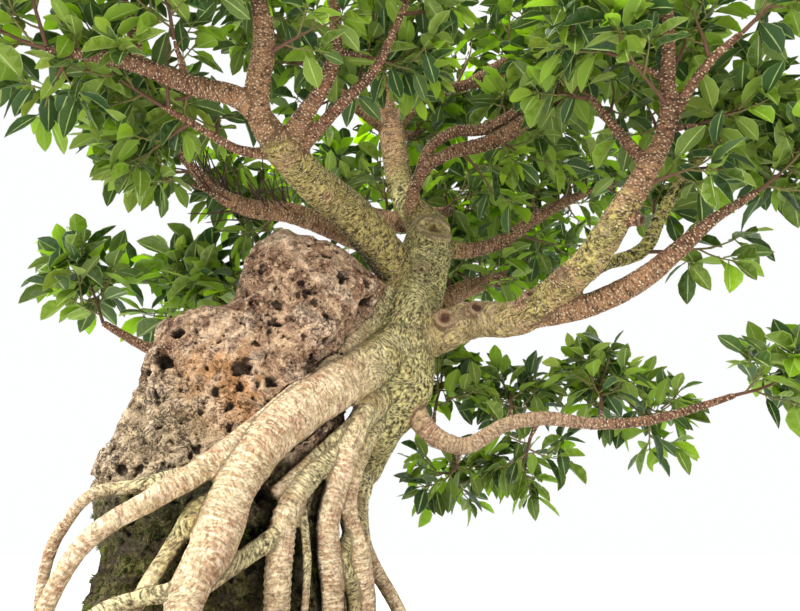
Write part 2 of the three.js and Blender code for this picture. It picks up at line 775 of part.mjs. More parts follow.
// The twigs of a spray, with the free places at their ends for its leaves
function growTwigs(grown, placed) {
  const growth = newGrowth();
  const whorls = [];
  let along = grown.headings[0];
  let side = unit(cross(UP, along));
  const ringAt = (middle, half) => {
    side = unit(minus(side, times(along, dot(side, along))));
    return growth.ring(middle, side, cross(along, side), half, half);
  };
  let from = ringAt(grown.spine[0], SPINE_HALF);
  let previous = grown.spine[0];
  growth.cap([...from].reverse());
  for (const k of SIDE_SHOOTS) {
    const shoot = grown.shoots[k];
    along = unit(minus(shoot.start, previous));
    const lower = ringAt(plus(shoot.start, times(along, -SHOOT_HALF)), SPINE_HALF);
    const upper = ringAt(plus(shoot.start, times(along, SHOOT_HALF)), SPINE_HALF);
    growth.bridge(from, lower);
    const sockets = nodeSockets(growth, lower, upper, false);
    const socket = bestSocket(sockets, shoot.aim);
    const clearStart = plus(shoot.start, times(shoot.aim, 3 * SPINE_HALF));
    const stick = stickSolid(clearStart, shoot.end, SHOOT_HALF);
    if (socket && isClear(stick, placed)) {
      whorls.push({ sockets: growShoot(growth, socket, shoot), leaves: shoot.leaves });
      placed.push(stick);
    }
    closeSockets(growth, sockets);
    placed.push(stickSolid(previous, shoot.start, SPINE_HALF));
    from = upper;
    previous = shoot.start;
  }
  const tip = grown.shoots.at(-1);
  along = unit(minus(tip.end, previous));
  const lower = ringAt(plus(tip.end, times(along, -2 * SHOOT_HALF)), SHOOT_HALF);
  const upper = ringAt(tip.end, SHOOT_HALF);
  growth.bridge(from, lower);
  whorls.push({ sockets: nodeSockets(growth, lower, upper, true), leaves: tip.leaves });
  placed.push(stickSolid(previous, tip.end, SHOOT_HALF));
  return { growth, whorls };
}

// Leaves on each whorl of a spray, wherever there is room for one
function growLeaves({ growth, whorls }, placed) {
  for (const { sockets, leaves } of whorls) {
    let count = 0;
    for (let back = 0; back < WHORL_SIZE && count < LEAVES_PER_WHORL; back++) {
      const leaf = leaves.at(-1 - back);
      const socket = bestSocket(sockets, leaf.axis);
      if (socket && isClear(bladeSolid(leaf, GAP), placed)) {
        growLeaf(growth, socket, leaf);
        placed.push(bladeSolid(leaf, 0));
        count += 1;
      }
    }
    closeSockets(growth, sockets);
  }
  return solid(growth.geometry());
}

function material(color, roughness) {
  return new THREE.MeshStandardMaterial({ color, roughness, metalness: 0 });
}

const stoneware = material(0x5d4437, 0.7);
const earth = material(0x3b3126, 0.95);
const lava = material(0x8a6a52, 0.95);
const bark = material(0x84704c, 0.85);
const foliage = material(0x3c7228, 0.45);

const tree = new THREE.Group();
function addNode(name, manifold, look) {
  const mesh = new THREE.Mesh(geometryOf(manifold), look);
  mesh.name = name;
  tree.add(mesh);
}

const wood = woodSolid(0);
const woodHole = woodSolid(ROOT_CLEARANCE);
// Where roots cross the rock's end they cut chips off it; only its main body is kept
const rock = rockSolid(0).subtract(woodHole).decompose()
  .reduce((most, body) => (body.volume() > most.volume() ? body : most));
const soil = soilSolid().subtract(woodHole).subtract(rockSolid(2 * GAP));

addNode("tray", traySolid(), stoneware);
addNode("soil", soil, earth);
addNode("rock", rock, lava);
addNode("banyan", wood, bark);

const placed = [wood, rock];
const sprays = [];
for (const [name, [azimuth, elevation, reach]] of Object.entries(TIP_SPRAYS)) {
  const tip = LIMBS[name].at(-1);
  sprays.push([`spray_${name}_tip`, tip.slice(0, 3), azimuth, elevation, reach]);
}
for (const [name, bend, azimuth, elevation, length, reach] of SIDE_SPRAYS) {
  const end = sideTwig(name, bend, azimuth, elevation, length)[1];
  sprays.push([`spray_${name}_side_${bend}`, end.slice(0, 3), azimuth, elevation, reach]);
}
const twigs = sprays.map(([, end, azimuth, elevation, reach], i) => {
  const direction = heading(azimuth, elevation);
  const base = plus(end, times(direction, GAP));
  return growTwigs(growSpray(base, direction, reach, 100 + i), placed);
});
sprays.forEach(([name], i) => addNode(name, growLeaves(twigs[i], placed), foliage));

// The origin lies under the middle of the whole, on the surface that the tray stands on
const box = new THREE.Box3().setFromObject(tree);
const middle = box.getCenter(new THREE.Vector3());
tree.position.set(-middle.x, -middle.y, -box.min.z);

export default tree;
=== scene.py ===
# %% [markdown]
# # A fig whose roots hold a rock
#
# This lesson dresses one bonsai: a small-leaved fig that grows over a porous rock in a
# stoneware tray. The frame gives the sizes. Every piece made here stands for a solid of
# the frame, or grows on one. After the camera come wood, rock, leaves, tray and soil.

# %% Load the frame
import math
import random

import bmesh
import bpy
import numpy as np
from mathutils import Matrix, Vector
from mathutils.bvhtree import BVHTree


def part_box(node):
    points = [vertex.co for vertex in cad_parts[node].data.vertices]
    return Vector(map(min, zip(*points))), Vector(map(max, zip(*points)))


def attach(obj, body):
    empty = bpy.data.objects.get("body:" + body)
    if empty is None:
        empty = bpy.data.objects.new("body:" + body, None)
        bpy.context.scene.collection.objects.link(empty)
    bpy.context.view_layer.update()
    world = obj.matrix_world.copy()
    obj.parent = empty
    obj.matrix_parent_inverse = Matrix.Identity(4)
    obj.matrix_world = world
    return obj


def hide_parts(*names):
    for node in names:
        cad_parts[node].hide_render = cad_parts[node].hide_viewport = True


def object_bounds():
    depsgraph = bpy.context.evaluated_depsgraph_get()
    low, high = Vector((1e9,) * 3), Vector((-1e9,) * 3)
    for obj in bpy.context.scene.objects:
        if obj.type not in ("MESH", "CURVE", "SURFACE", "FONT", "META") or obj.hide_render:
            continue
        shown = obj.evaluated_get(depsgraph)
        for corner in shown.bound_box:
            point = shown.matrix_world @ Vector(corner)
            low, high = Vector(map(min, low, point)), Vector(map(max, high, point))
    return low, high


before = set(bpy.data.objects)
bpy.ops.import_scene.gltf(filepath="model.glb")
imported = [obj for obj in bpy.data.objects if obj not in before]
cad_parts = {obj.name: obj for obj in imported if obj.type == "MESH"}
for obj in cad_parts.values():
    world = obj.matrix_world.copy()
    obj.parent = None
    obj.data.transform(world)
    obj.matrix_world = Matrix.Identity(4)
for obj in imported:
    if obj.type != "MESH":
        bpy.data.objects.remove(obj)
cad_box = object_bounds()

print("solids:", len(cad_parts), "box:", [tuple(round(v, 3) for v in c) for c in cad_box])

# %% [markdown]
# The tree was measured from the foot of its trunk, in millimetres. The frame has its
# origin under the middle of everything instead. The tray tells us how far apart the two
# are, so each point below is written as it was measured and then moved over.

# %% From the tree's own millimetres to the frame
TRAY_MIDDLE = (-0.145, -0.042)
tray_low, tray_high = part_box("tray")
SHIFT = Vector((
    (tray_low[0] + tray_high[0]) / 2 - TRAY_MIDDLE[0],
    (tray_low[1] + tray_high[1]) / 2 - TRAY_MIDDLE[1],
    0.0,
))
TRAY_HEIGHT = tray_high[2]


def in_frame(point):
    """A measured point, in metres and in the frame."""
    return Vector(point[:3]) * 0.001 + SHIFT


print("the trunk stands at", tuple(round(v, 4) for v in SHIFT))

# %% [markdown]
# ## Camera, light and floor
#
# The photograph looks up into the tree from just above the tray, which is what makes the
# limbs spread overhead. A wide lens at 0.8 m gives the same spread. The light is a
# white room with its bright side behind the tree, so leaves glow where light comes
# through them and the bark's relief shows. The camera comes first, because everything
# below is judged through it.

# %% Camera
CAMERA_SPOT = (0, -801, 243)
CAMERA_PITCH = math.radians(17)
LENS_MM = 28.8

camera = bpy.data.objects.new("camera", bpy.data.cameras.new("camera"))
camera.data.lens = LENS_MM
camera.data.sensor_width = 36
camera.data.clip_start = 0.05
camera.location = in_frame(CAMERA_SPOT)
camera.rotation_euler = (math.radians(90) + CAMERA_PITCH, 0, 0)
bpy.context.scene.collection.objects.link(camera)
bpy.context.scene.camera = camera
print("camera at", tuple(round(v, 3) for v in camera.location))

# %% [markdown]
# Soft light comes from lamps with a wide face. The key stands high in front on the left,
# where the photograph is brightest. The fill, in front on the right, is weak, so that the
# shadows stay. The third lights the crown from above and behind. Each is a spot, a width
# and its watts, and they all face the middle of the tree.

# %% Lamps
LAMP_AIM = Vector((0, 0, 0.55))
LAMPS = {
    "key": ((-1.3, -1.5, 2.3), 1.1, 96),
    "fill": ((1.9, -1.2, 1.0), 1.8, 12),
    "top": ((0.3, 1.1, 2.6), 1.6, 76),
}
for name, (spot, side, watts) in LAMPS.items():
    lamp = bpy.data.objects.new(name, bpy.data.lights.new(name, "AREA"))
    lamp.data.size = side
    lamp.data.energy = watts
    lamp.location = spot
    lamp.rotation_euler = (LAMP_AIM - lamp.location).to_track_quat("-Z", "Y").to_euler()
    bpy.context.scene.collection.objects.link(lamp)

bpy.context.scene.view_settings.view_transform = "Standard"
print("lamps:", ", ".join(LAMPS))

# %% [markdown]
# ## Node trees as expressions
#
# A bark or a rock is mostly arithmetic on a few textures. Written node by node it is
# hard to read, so a small class wraps an output socket: adding or multiplying two of them
# adds the Math node. The same class serves shader trees and geometry trees.


# %% Sockets that can be added and multiplied
def operation(name, swapped=False):
    """A method that adds one Math node between a socket and something else."""
    def apply(self, other):
        return self.tree.math(name, *((other, self) if swapped else (self, other)))
    return apply


class Socket:
    """An output that plain arithmetic works on, from either side."""

    def __init__(self, tree, socket):
        self.tree = tree
        self.socket = socket

    __add__, __radd__ = operation("ADD"), operation("ADD", True)
    __sub__, __rsub__ = operation("SUBTRACT"), operation("SUBTRACT", True)
    __mul__, __rmul__ = operation("MULTIPLY"), operation("MULTIPLY", True)
    __rtruediv__ = operation("DIVIDE", True)


class Tree:
    """A node tree, and the one method that adds nodes to it."""

    def __init__(self, group):
        self.group = group

    def node(self, kind, settings=None, inputs=None, out=0):
        """Adds a node and gives one of its outputs, or the node itself when out is None."""
        node = self.group.nodes.new(kind)
        for name, value in (settings or {}).items():
            setattr(node, name, value)
        for name, value in (inputs or {}).items():
            values = value if isinstance(value, list) else [value]
            for each in values:
                if isinstance(each, Socket):
                    self.group.links.new(each.socket, node.inputs[name])
                else:
                    node.inputs[name].default_value = each
        return node if out is None else Socket(self, node.outputs[out])

    def math(self, operation, *values):
        return self.node("ShaderNodeMath", {"operation": operation}, dict(enumerate(values)))

    def vector(self, operation, *values):
        settings = {"operation": operation}
        return self.node("ShaderNodeVectorMath", settings, dict(enumerate(values)))

    def along(self, direction, distance):
        """A direction scaled by a number that may vary."""
        inputs = {0: direction, "Scale": distance}
        return self.node("ShaderNodeVectorMath", {"operation": "SCALE"}, inputs)

    def parts(self, vector):
        """The three numbers of a vector."""
        split = self.node("ShaderNodeSeparateXYZ", None, {0: vector}, None)
        return [Socket(self, output) for output in split.outputs]

    def joined(self, x, y, z):
        return self.node("ShaderNodeCombineXYZ", None, {0: x, 1: y, 2: z})

    def step(self, value, low, high):
        """From 0 at low to 1 at high, easing in and out."""
        settings = {"interpolation_type": "SMOOTHSTEP"}
        inputs = {"Value": value, "From Min": low, "From Max": high}
        return self.node("ShaderNodeMapRange", settings, inputs)

    def mix(self, factor, first, second):
        """Two colours mixed."""
        settings = {"data_type": "RGBA"}
        return self.node("ShaderNodeMix", settings, {0: factor, 6: first, 7: second}, 2)

    def noise(self, vector, scale, detail=3.0, roughness=0.55, distortion=0.0):
        inputs = {"Vector": vector, "Scale": scale, "Detail": detail}
        inputs.update({"Roughness": roughness, "Distortion": distortion})
        return self.node("ShaderNodeTexNoise", None, inputs, 0)

    def cells(self, vector, scale, out="Distance", feature="F1"):
        """Distance to the middle of a cell, or the cell's own random colour."""
        inputs = {"Vector": vector, "Scale": scale}
        return self.node("ShaderNodeTexVoronoi", {"feature": feature}, inputs, out)

    def swirl(self, vector, scale, size):
        """The vector, pushed about by a slow noise so that straight patterns bend."""
        inputs = {"Vector": vector, "Scale": scale, "Detail": 2.0}
        push = self.node("ShaderNodeTexNoise", None, inputs, 1)
        centred = self.vector("SUBTRACT", push, (0.5, 0.5, 0.5))
        return self.vector("ADD", vector, self.along(centred, size))


print("node helpers ready")

# %% [markdown]
# The sky is the first tree: it reads the direction it is seen in, and is white behind the
# tree and dimmer behind the camera. An even sky would flatten every shape.

# %% Sky
SKY_BEHIND = (0.99, 0.995, 1.0, 1)
SKY_FRONT = (0.56, 0.56, 0.56, 1)

sky = bpy.data.worlds.new("white_room")
sky.use_nodes = True
sky_tree = Tree(sky.node_tree)
towards = sky_tree.node("ShaderNodeTexCoord", None, None, "Generated")
behind = sky_tree.step(sky_tree.parts(towards)[1], -0.35, 0.55)
sky_colour = sky_tree.mix(behind, SKY_FRONT, SKY_BEHIND)
sky.node_tree.links.new(sky_colour.socket, sky.node_tree.nodes["Background"].inputs["Color"])
bpy.context.scene.world = sky
print("sky ready")

# %% [markdown]
# A geometry tree gets named inputs, so that its sizes can be set from outside. It always
# ends by realising its instances, because an export drops them. Running the tree on an
# object and keeping the result as a plain mesh is one call.


# %% Geometry trees, run and kept
def geometry_tree(name, inputs):
    """A geometry tree whose inputs are label: (type of socket, value)."""
    group = bpy.data.node_groups.new(name, "GeometryNodeTree")
    group.interface.new_socket("Geometry", in_out="INPUT", socket_type="NodeSocketGeometry")
    for label, (kind, value) in inputs.items():
        socket = group.interface.new_socket(label, in_out="INPUT", socket_type="NodeSocket" + kind)
        if value is not None:
            socket.default_value = value
    group.interface.new_socket("Geometry", in_out="OUTPUT", socket_type="NodeSocketGeometry")
    tree = Tree(group)
    entry = tree.node("NodeGroupInput", out=None)
    given = {label: Socket(tree, entry.outputs[label]) for label in ["Geometry", *inputs]}
    return tree, given


def finish_tree(tree, geometry, material=None):
    real = tree.node("GeometryNodeRealizeInstances", None, {"Geometry": geometry})
    if material is not None:
        inputs = {"Geometry": real, "Material": material}
        real = tree.node("GeometryNodeSetMaterial", None, inputs)
    tree.node("NodeGroupOutput", None, {"Geometry": real}, out=None)
    return tree.group


def named(tree, name, kind="FLOAT"):
    """A named attribute inside a geometry tree."""
    return tree.node("GeometryNodeInputNamedAttribute", {"data_type": kind}, {"Name": name})


def stored(tree, geometry, name, value):
    inputs = {"Geometry": geometry, "Name": name, "Value": value}
    return tree.node("GeometryNodeStoreNamedAttribute", {"data_type": "FLOAT"}, inputs)


def settle(thing):
    """Keeps what the modifiers make as the object's own plain mesh."""
    depsgraph = bpy.context.evaluated_depsgraph_get()
    made = bpy.data.meshes.new_from_object(
        thing.evaluated_get(depsgraph), preserve_all_data_layers=True, depsgraph=depsgraph)
    made.name = thing.name
    thing.modifiers.clear()
    thing.data = made
    return thing


def grow(thing, group, values=None):
    """Runs a geometry tree on an object and keeps the result."""
    modifier = thing.modifiers.new(group.name, "NODES")
    modifier.node_group = group
    for item in group.interface.items_tree:
        if item.in_out == "INPUT" and item.name in (values or {}):
            modifier[item.identifier] = values[item.name]
    return settle(thing)


def mesh_object(name, points, faces=(), edges=()):
    mesh = bpy.data.meshes.new(name)
    mesh.from_pydata([tuple(p) for p in points], edges, faces)
    thing = bpy.data.objects.new(name, mesh)
    bpy.context.scene.collection.objects.link(thing)
    return thing


def give(mesh, name, values, kind="FLOAT"):
    """Stores one value for each point of a mesh."""
    attribute = mesh.attributes.new(name, kind, "POINT")
    field = "vector" if kind == "FLOAT_VECTOR" else "value"
    attribute.data.foreach_set(field, np.asarray(values, dtype=np.float32).ravel())


def read(items, field, size=3):
    """One vector, or one number, for each item of a collection."""
    flat = np.empty(len(items) * size, dtype=np.float32)
    items.foreach_get(field, flat)
    return flat.reshape(-1, size) if size > 1 else flat


def remeshed(thing, voxel, smoothing):
    """One even skin over everything in the object, with its creases eased."""
    skin = thing.modifiers.new("skin", "REMESH")
    skin.mode = "VOXEL"
    skin.voxel_size = voxel
    ease = thing.modifiers.new("ease", "SMOOTH")
    ease.factor = 0.5
    ease.iterations = smoothing
    return settle(thing)


def triangles(thing):
    thing.data.calc_loop_triangles()
    return len(thing.data.loop_triangles)


def thinned(thing, budget):
    """Takes points from the flat stretches until a thing fits its triangles."""
    thin = thing.modifiers.new("thin", "DECIMATE")
    thin.ratio = min(1.0, budget / triangles(thing))
    return settle(thing)


print("geometry helpers ready")

# %% [markdown]
# ## The wood
#
# Trunk, roots and limbs are one piece of wood. Each is written as a middle line: where it
# bends, and how thick it is there. We could model the joints by hand, but a fig's
# joints are smooth webs, so we make plain tubes, melt them into one skin, and let the
# melting round the forks. The bends are the same as in the solids.

# %% Middle lines of trunk and roots, in millimetres: x, y, z, radius
TRUNK = [
    [-48, 32, 272, 20], [-26, 36, 335, 31], [3, 40, 390, 41], [5, 45, 440, 41],
    [20, 50, 495, 38], [30, 55, 550, 37], [40, 60, 595, 36], [38, 66, 628, 30],
    [20, 72, 655, 23], [5, 85, 690, 20], [-5, 100, 750, 21], [-15, 110, 830, 20],
]
ROOTS = {
    "main": [
        [6, 36, 444, 35], [-32, 8, 414, 30], [-84, -40, 368, 29], [-140, -98, 309, 26],
        [-166, -134, 254, 22], [-174, -158, 208, 22], [-188, -180, 168, 18],
        [-190, -190, 76, 13],
    ],
    "left": [
        [-18, 50, 522, 22], [-50, 22, 462, 20], [-82, -16, 410, 14], [-125, -68, 358, 12],
        [-161, -106, 314, 12], [-198, -144, 272, 13], [-230, -166, 248, 11],
        [-284, -190, 206, 9], [-308, -194, 150, 8], [-312, -194, 78, 7],
    ],
    "left_thin": [
        [-198, -144, 272, 9], [-260, -160, 256, 7], [-290, -162, 252, 6],
        [-326, -150, 216, 6], [-336, -140, 78, 5],
    ],
    "second": [
        [-20, 22, 374, 19], [-50, -30, 331, 15], [-66, -60, 276, 14], [-77, -75, 224, 13],
        [-70, -78, 145, 12], [-68, -80, 76, 10],
    ],
    "third": [
        [-20, 28, 356, 15], [-45, -20, 300, 11], [-59, -50, 240, 11], [-41, -56, 177, 11],
        [-29, -60, 76, 8],
    ],
    "outer": [
        [-46, 30, 285, 19], [-50, 8, 232, 12], [-44, 0, 200, 10], [2, -10, 118, 8],
        [18, -12, 78, 7],
    ],
    "dead": [[-56, -36, 332, 8], [-132, -108, 250, 7]],
    "ringed": [
        [-68, -44, 301, 12], [-101, -90, 261, 12], [-118, -104, 230, 14],
        [-121, -112, 189, 14], [-114, -124, 76, 11],
    ],
    "cross": [[-121, -110, 213, 10], [-184, -166, 166, 9]],
    "thin": [[-106, -94, 246, 6], [-96, -98, 193, 5], [-100, -104, 78, 4]],
    "short": [
        [-55, -56, 210, 8], [-63, -68, 180, 9], [-51, -62, 154, 9], [-49, -64, 78, 8],
    ],
    "green": [
        [-172, -128, 248, 14], [-198, -144, 234, 12], [-210, -160, 208, 9],
        [-230, -178, 164, 8], [-262, -190, 78, 6],
    ],
    "low": [
        [-188, -180, 168, 12], [-212, -184, 164, 8], [-258, -198, 152, 7],
        [-284, -204, 128, 6], [-292, -206, 78, 5],
    ],
    "rear": [[5, 70, 410, 24], [-35, 86, 340, 17], [-58, 98, 250, 13], [-72, 114, 76, 9]],
    "rear_rock": [
        [0, 70, 450, 22], [-70, 62, 425, 16], [-140, 50, 385, 14], [-196, 40, 320, 12],
        [-228, 36, 210, 11], [-236, 44, 76, 8],
    ],
}
print("roots:", len(ROOTS))

# %% [markdown]
# A fig in a pot is pruned every year, so each limb is a chain of short bends that gets
# thinner at every cut. One could grow such limbs by a rule too, but these are this tree's
# portrait. So the bends are written down, and the curve between them is worked out.

# %% Middle lines of the limbs
LIMBS = {
    "left_main": [
        [15, 55, 525, 28], [-20, 30, 570, 29], [-65, -20, 610, 27], [-110, -70, 630, 24],
        [-145, -120, 652, 22],
    ],
    "left_up": [
        [-140, -112, 648, 20], [-165, -145, 675, 15], [-165, -165, 705, 14],
        [-155, -190, 740, 13], [-160, -210, 785, 9], [-172, -232, 820, 5],
    ],
    "left_far": [
        [-140, -115, 650, 18], [-185, -160, 690, 13], [-240, -180, 695, 11],
        [-290, -200, 705, 9], [-330, -215, 705, 7], [-375, -230, 702, 4],
    ],
    "left_rise": [
        [-290, -200, 705, 7], [-295, -215, 740, 7], [-305, -225, 772, 5],
        [-320, -235, 805, 4],
    ],
    "left_inner": [
        [-140, -115, 650, 15], [-115, -140, 680, 11], [-90, -160, 705, 9],
        [-75, -180, 740, 8], [-75, -205, 790, 7], [-75, -222, 825, 5],
    ],
    "left_thin": [
        [-126, -110, 648, 9], [-65, -150, 695, 7], [-30, -165, 725, 6],
        [-10, -180, 760, 5], [8, -192, 798, 4],
    ],
    "left_loop": [
        [-140, -105, 648, 8], [-195, -125, 645, 6], [-230, -140, 660, 5],
        [-275, -160, 680, 4],
    ],
    "back_left": [
        [15, 70, 575, 20], [-95, 55, 620, 16], [-160, 40, 640, 15], [-215, 25, 640, 13],
        [-260, 15, 660, 10], [-300, 0, 700, 7], [-345, -12, 738, 4],
    ],
    "crown_left": [
        [-15, 110, 822, 16], [-70, 80, 845, 11], [-112, 55, 866, 8], [-158, 25, 892, 4],
    ],
    "crown_up": [
        [-15, 110, 822, 17], [-25, 102, 880, 12], [-35, 88, 930, 8], [-42, 76, 975, 4],
    ],
    "crown_right": [
        [-10, 110, 826, 15], [40, 115, 885, 12], [110, 120, 912, 9], [205, 125, 938, 7],
        [275, 130, 962, 4],
    ],
    "crown_side": [
        [110, 120, 912, 8], [150, 110, 935, 7], [200, 98, 965, 6], [222, 90, 1005, 4],
    ],
    "middle_right": [
        [20, 65, 635, 14], [20, 30, 670, 10], [35, 15, 695, 9], [70, -5, 710, 9],
        [125, -25, 715, 11], [175, -50, 735, 11], [225, -70, 765, 8], [285, -92, 792, 4],
    ],
    "middle_up": [
        [26, 22, 684, 9], [45, 10, 730, 8], [80, -5, 745, 8], [110, -20, 737, 8],
        [140, -30, 745, 8], [190, -45, 775, 6], [242, -62, 798, 4],
    ],
    "knob_right": [
        [42, 62, 600, 18], [95, 75, 595, 12], [150, 90, 615, 11], [215, 105, 665, 10],
        [285, 115, 705, 7], [350, 128, 732, 4],
    ],
    "right_main": [
        [20, 50, 450, 31], [55, 30, 460, 28], [90, 10, 470, 25], [150, -35, 462, 22],
        [190, -75, 485, 20], [220, -110, 510, 19], [250, -140, 555, 16],
        [275, -165, 595, 13], [290, -190, 630, 10], [290, -210, 680, 8],
        [285, -240, 735, 6], [280, -255, 775, 4],
    ],
    "right_low": [
        [150, -35, 462, 18], [225, -80, 465, 14], [275, -110, 485, 13],
        [315, -130, 515, 10], [345, -150, 540, 7], [392, -165, 568, 4],
    ],
    "right_moss": [
        [180, -62, 468, 12], [240, -80, 512, 8], [290, -95, 530, 9], [305, -110, 560, 8],
        [335, -135, 610, 6], [368, -155, 640, 4],
    ],
    "right_inner": [[278, -165, 596, 8], [250, -160, 645, 6], [225, -150, 700, 4]],
    "right_outer": [
        [288, -186, 626, 8], [310, -210, 665, 6], [330, -230, 690, 5], [355, -248, 708, 4],
    ],
    "low_right": [
        [5, 38, 385, 17], [40, 25, 325, 13], [75, 18, 309, 11], [135, 0, 335, 9],
        [170, -10, 340, 9], [240, -20, 332, 7], [300, -25, 336, 6], [355, -34, 350, 5],
        [400, -40, 364, 4],
    ],
    "low_left": [
        [0, 75, 480, 17], [-100, 112, 458, 14], [-220, 112, 434, 11], [-355, 90, 450, 8],
        [-420, 72, 484, 5],
    ],
    "rear_right": [
        [55, 85, 510, 17], [85, 110, 540, 15], [125, 155, 570, 12], [185, 215, 610, 8],
        [225, 250, 640, 4],
    ],
    "rear_left": [
        [5, 80, 640, 15], [-55, 135, 685, 12], [-105, 190, 740, 8], [-140, 225, 775, 4],
    ],
    "rear_middle": [
        [30, 75, 652, 12], [75, 145, 690, 9], [100, 200, 725, 6], [118, 240, 755, 4],
    ],
    "rear_crown": [
        [-12, 108, 800, 13], [10, 160, 840, 9], [30, 205, 872, 6], [45, 235, 900, 4],
    ],
}
print("limbs:", len(LIMBS))

# %% [markdown]
# Where a limb was pruned the fig leaves a short stub, and the bark rolls over its face in
# a ring. Leafy sprays leave the limbs at their tips and from side twigs. A spray is
# given by the way it points, in degrees, and by how far it reaches.

# %% Stubs and the places of the sprays
STUBS = [
    [[40, 55, 600, 30], [48, 38, 612, 21]],
    [[92, 0, 472, 16], [98, -24, 478, 9]],
    [[150, -40, 466, 15], [158, -64, 482, 8]],
    [[186, -70, 486, 14], [192, -98, 496, 7]],
    [[60, 25, 464, 18], [58, -6, 470, 11]],
    [[250, -135, 552, 12], [268, -152, 540, 6]],
    [[-90, -40, 622, 15], [-98, -66, 620, 9]],
]
TIP_SPRAYS = {  # limb: azimuth, elevation, reach
    "left_up": [215, 50, 150],
    "left_far": [200, 12, 150],
    "left_rise": [250, 60, 140],
    "left_inner": [300, 55, 150],
    "left_thin": [320, 55, 130],
    "left_loop": [205, 15, 135],
    "back_left": [165, 25, 150],
    "crown_left": [200, 30, 150],
    "crown_up": [260, 65, 125],
    "crown_right": [10, 20, 150],
    "crown_side": [340, 50, 120],
    "middle_right": [345, 25, 140],
    "middle_up": [20, 30, 135],
    "knob_right": [25, 20, 145],
    "right_main": [270, 70, 140],
    "right_low": [345, 22, 135],
    "right_moss": [20, 35, 130],
    "right_inner": [140, 50, 120],
    "right_outer": [330, 35, 130],
    "low_right": [355, 15, 135],
    "low_left": [150, 50, 160],
    "rear_right": [50, 25, 150],
    "rear_left": [130, 30, 150],
    "rear_middle": [75, 30, 145],
    "rear_crown": [70, 40, 140],
}
SIDE_SPRAYS = [  # limb, bend, azimuth, elevation, length of its twig, reach
    ["left_far", 2, 255, 45, 40, 135],
    ["left_inner", 3, 35, 15, 40, 130],
    ["back_left", 3, 110, 25, 45, 140],
    ["back_left", 4, 225, -5, 35, 130],
    ["crown_left", 2, 120, 50, 35, 135],
    ["crown_right", 2, 80, 25, 45, 140],
    ["middle_up", 5, 60, 50, 35, 130],
    ["right_main", 8, 10, 15, 35, 130],
    ["right_main", 9, 185, 25, 35, 130],
    ["low_right", 1, 80, 40, 45, 125],
    ["low_right", 2, 90, -28, 35, 120],
    ["low_right", 3, 75, 30, 40, 125],
    ["low_right", 4, 95, -26, 40, 120],
    ["low_right", 5, 60, 40, 25, 120],
    ["low_right", 6, 70, 5, 30, 130],
    ["low_left", 3, 60, 60, 35, 160],
    ["low_left", 2, 170, 60, 40, 165],
    ["rear_right", 2, 130, 35, 40, 135],
    ["knob_right", 3, 100, 60, 40, 140],
]


def heading(azimuth, elevation):
    a = math.radians(azimuth)
    e = math.radians(elevation)
    return Vector((math.cos(a) * math.cos(e), math.sin(a) * math.cos(e), math.sin(e)))


TWIG_THICKEST = 5
TWIG_END = 2.6


def side_twig(name, bend, azimuth, elevation, length):
    """The wood's twig that carries a side spray: its two ends with their radii."""
    start = LIMBS[name][bend]
    end = Vector(start[:3]) + heading(azimuth, elevation) * (start[3] * 0.7 + length)
    return [[*start[:3], min(start[3] * 0.6, TWIG_THICKEST)], [*end, TWIG_END]]


print("sprays:", len(TIP_SPRAYS) + len(SIDE_SPRAYS))

# %% [markdown]
# A limb bends smoothly between its points, so a curve is drawn through them. Each point
# on the curve carries two directions across the limb, turned as little as possible
# from one to the next. They give every spot on the bark a place round the limb
# and a place along it, which is what the grain of the bark follows.

# %% Smooth middle lines with frames
LINE_STEP = 0.006


def smooth_line(bends):
    """Points about one step apart on a curve through the bends, each with its radius."""
    knots = np.array([[*in_frame(b), b[3] * 0.001] for b in bends])
    gaps = np.linalg.norm(np.diff(knots[:, :3], axis=0), axis=1)
    slopes = np.diff(knots, axis=0) / gaps[:, None]
    tangents = np.vstack([slopes[:1], slopes[-1:]])
    if len(knots) > 2:
        share = (gaps[1:] / (gaps[1:] + gaps[:-1]))[:, None]
        inner = slopes[:-1] * share + slopes[1:] * (1 - share)
        tangents = np.vstack([slopes[:1], inner, slopes[-1:]])
    line = []
    for i, gap in enumerate(gaps):
        t = np.linspace(0, 1, max(2, int(gap / LINE_STEP)), endpoint=False)[:, None]
        line.append(
            knots[i] * (2 * t**3 - 3 * t**2 + 1) + knots[i + 1] * (3 * t**2 - 2 * t**3)
            + tangents[i] * gap * (t**3 - 2 * t**2 + t) + tangents[i + 1] * gap * (t**3 - t**2))
    return np.vstack([*line, knots[-1:]])


def framed_line(bends):
    """The smooth line, with its direction, two directions across, and length so far."""
    line = smooth_line(bends)
    middle = line[:, :3]
    along = np.gradient(middle, axis=0)
    along /= np.linalg.norm(along, axis=1)[:, None]
    side = np.array([1.0, 0, 0]) if abs(along[0][2]) > 0.9 else np.array([0, 0, 1.0])
    sides = []
    for direction in along:
        side = side - direction * side.dot(direction)
        side = side / np.linalg.norm(side)
        sides.append(side)
    sides = np.array(sides)
    steps = np.linalg.norm(np.diff(middle, axis=0), axis=1)
    length = np.concatenate([[0], np.cumsum(steps)])
    return {"middle": middle, "radius": line[:, 3], "along": along, "side": sides,
            "other": np.cross(along, sides), "length": length}


LINES = {"trunk": framed_line(TRUNK)}
LINES.update({"root_" + name: framed_line(bends) for name, bends in ROOTS.items()})
LINES.update({"limb_" + name: framed_line(bends) for name, bends in LIMBS.items()})
LINES.update({f"stub_{i}": framed_line(bends) for i, bends in enumerate(STUBS)})
for name, bend, azimuth, elevation, length, _ in SIDE_SPRAYS:
    twig = side_twig(name, bend, azimuth, elevation, length)
    LINES[f"twig_{name}_{bend}"] = framed_line(twig)
print("middle lines:", len(LINES), "points:", sum(len(l["radius"]) for l in LINES.values()))

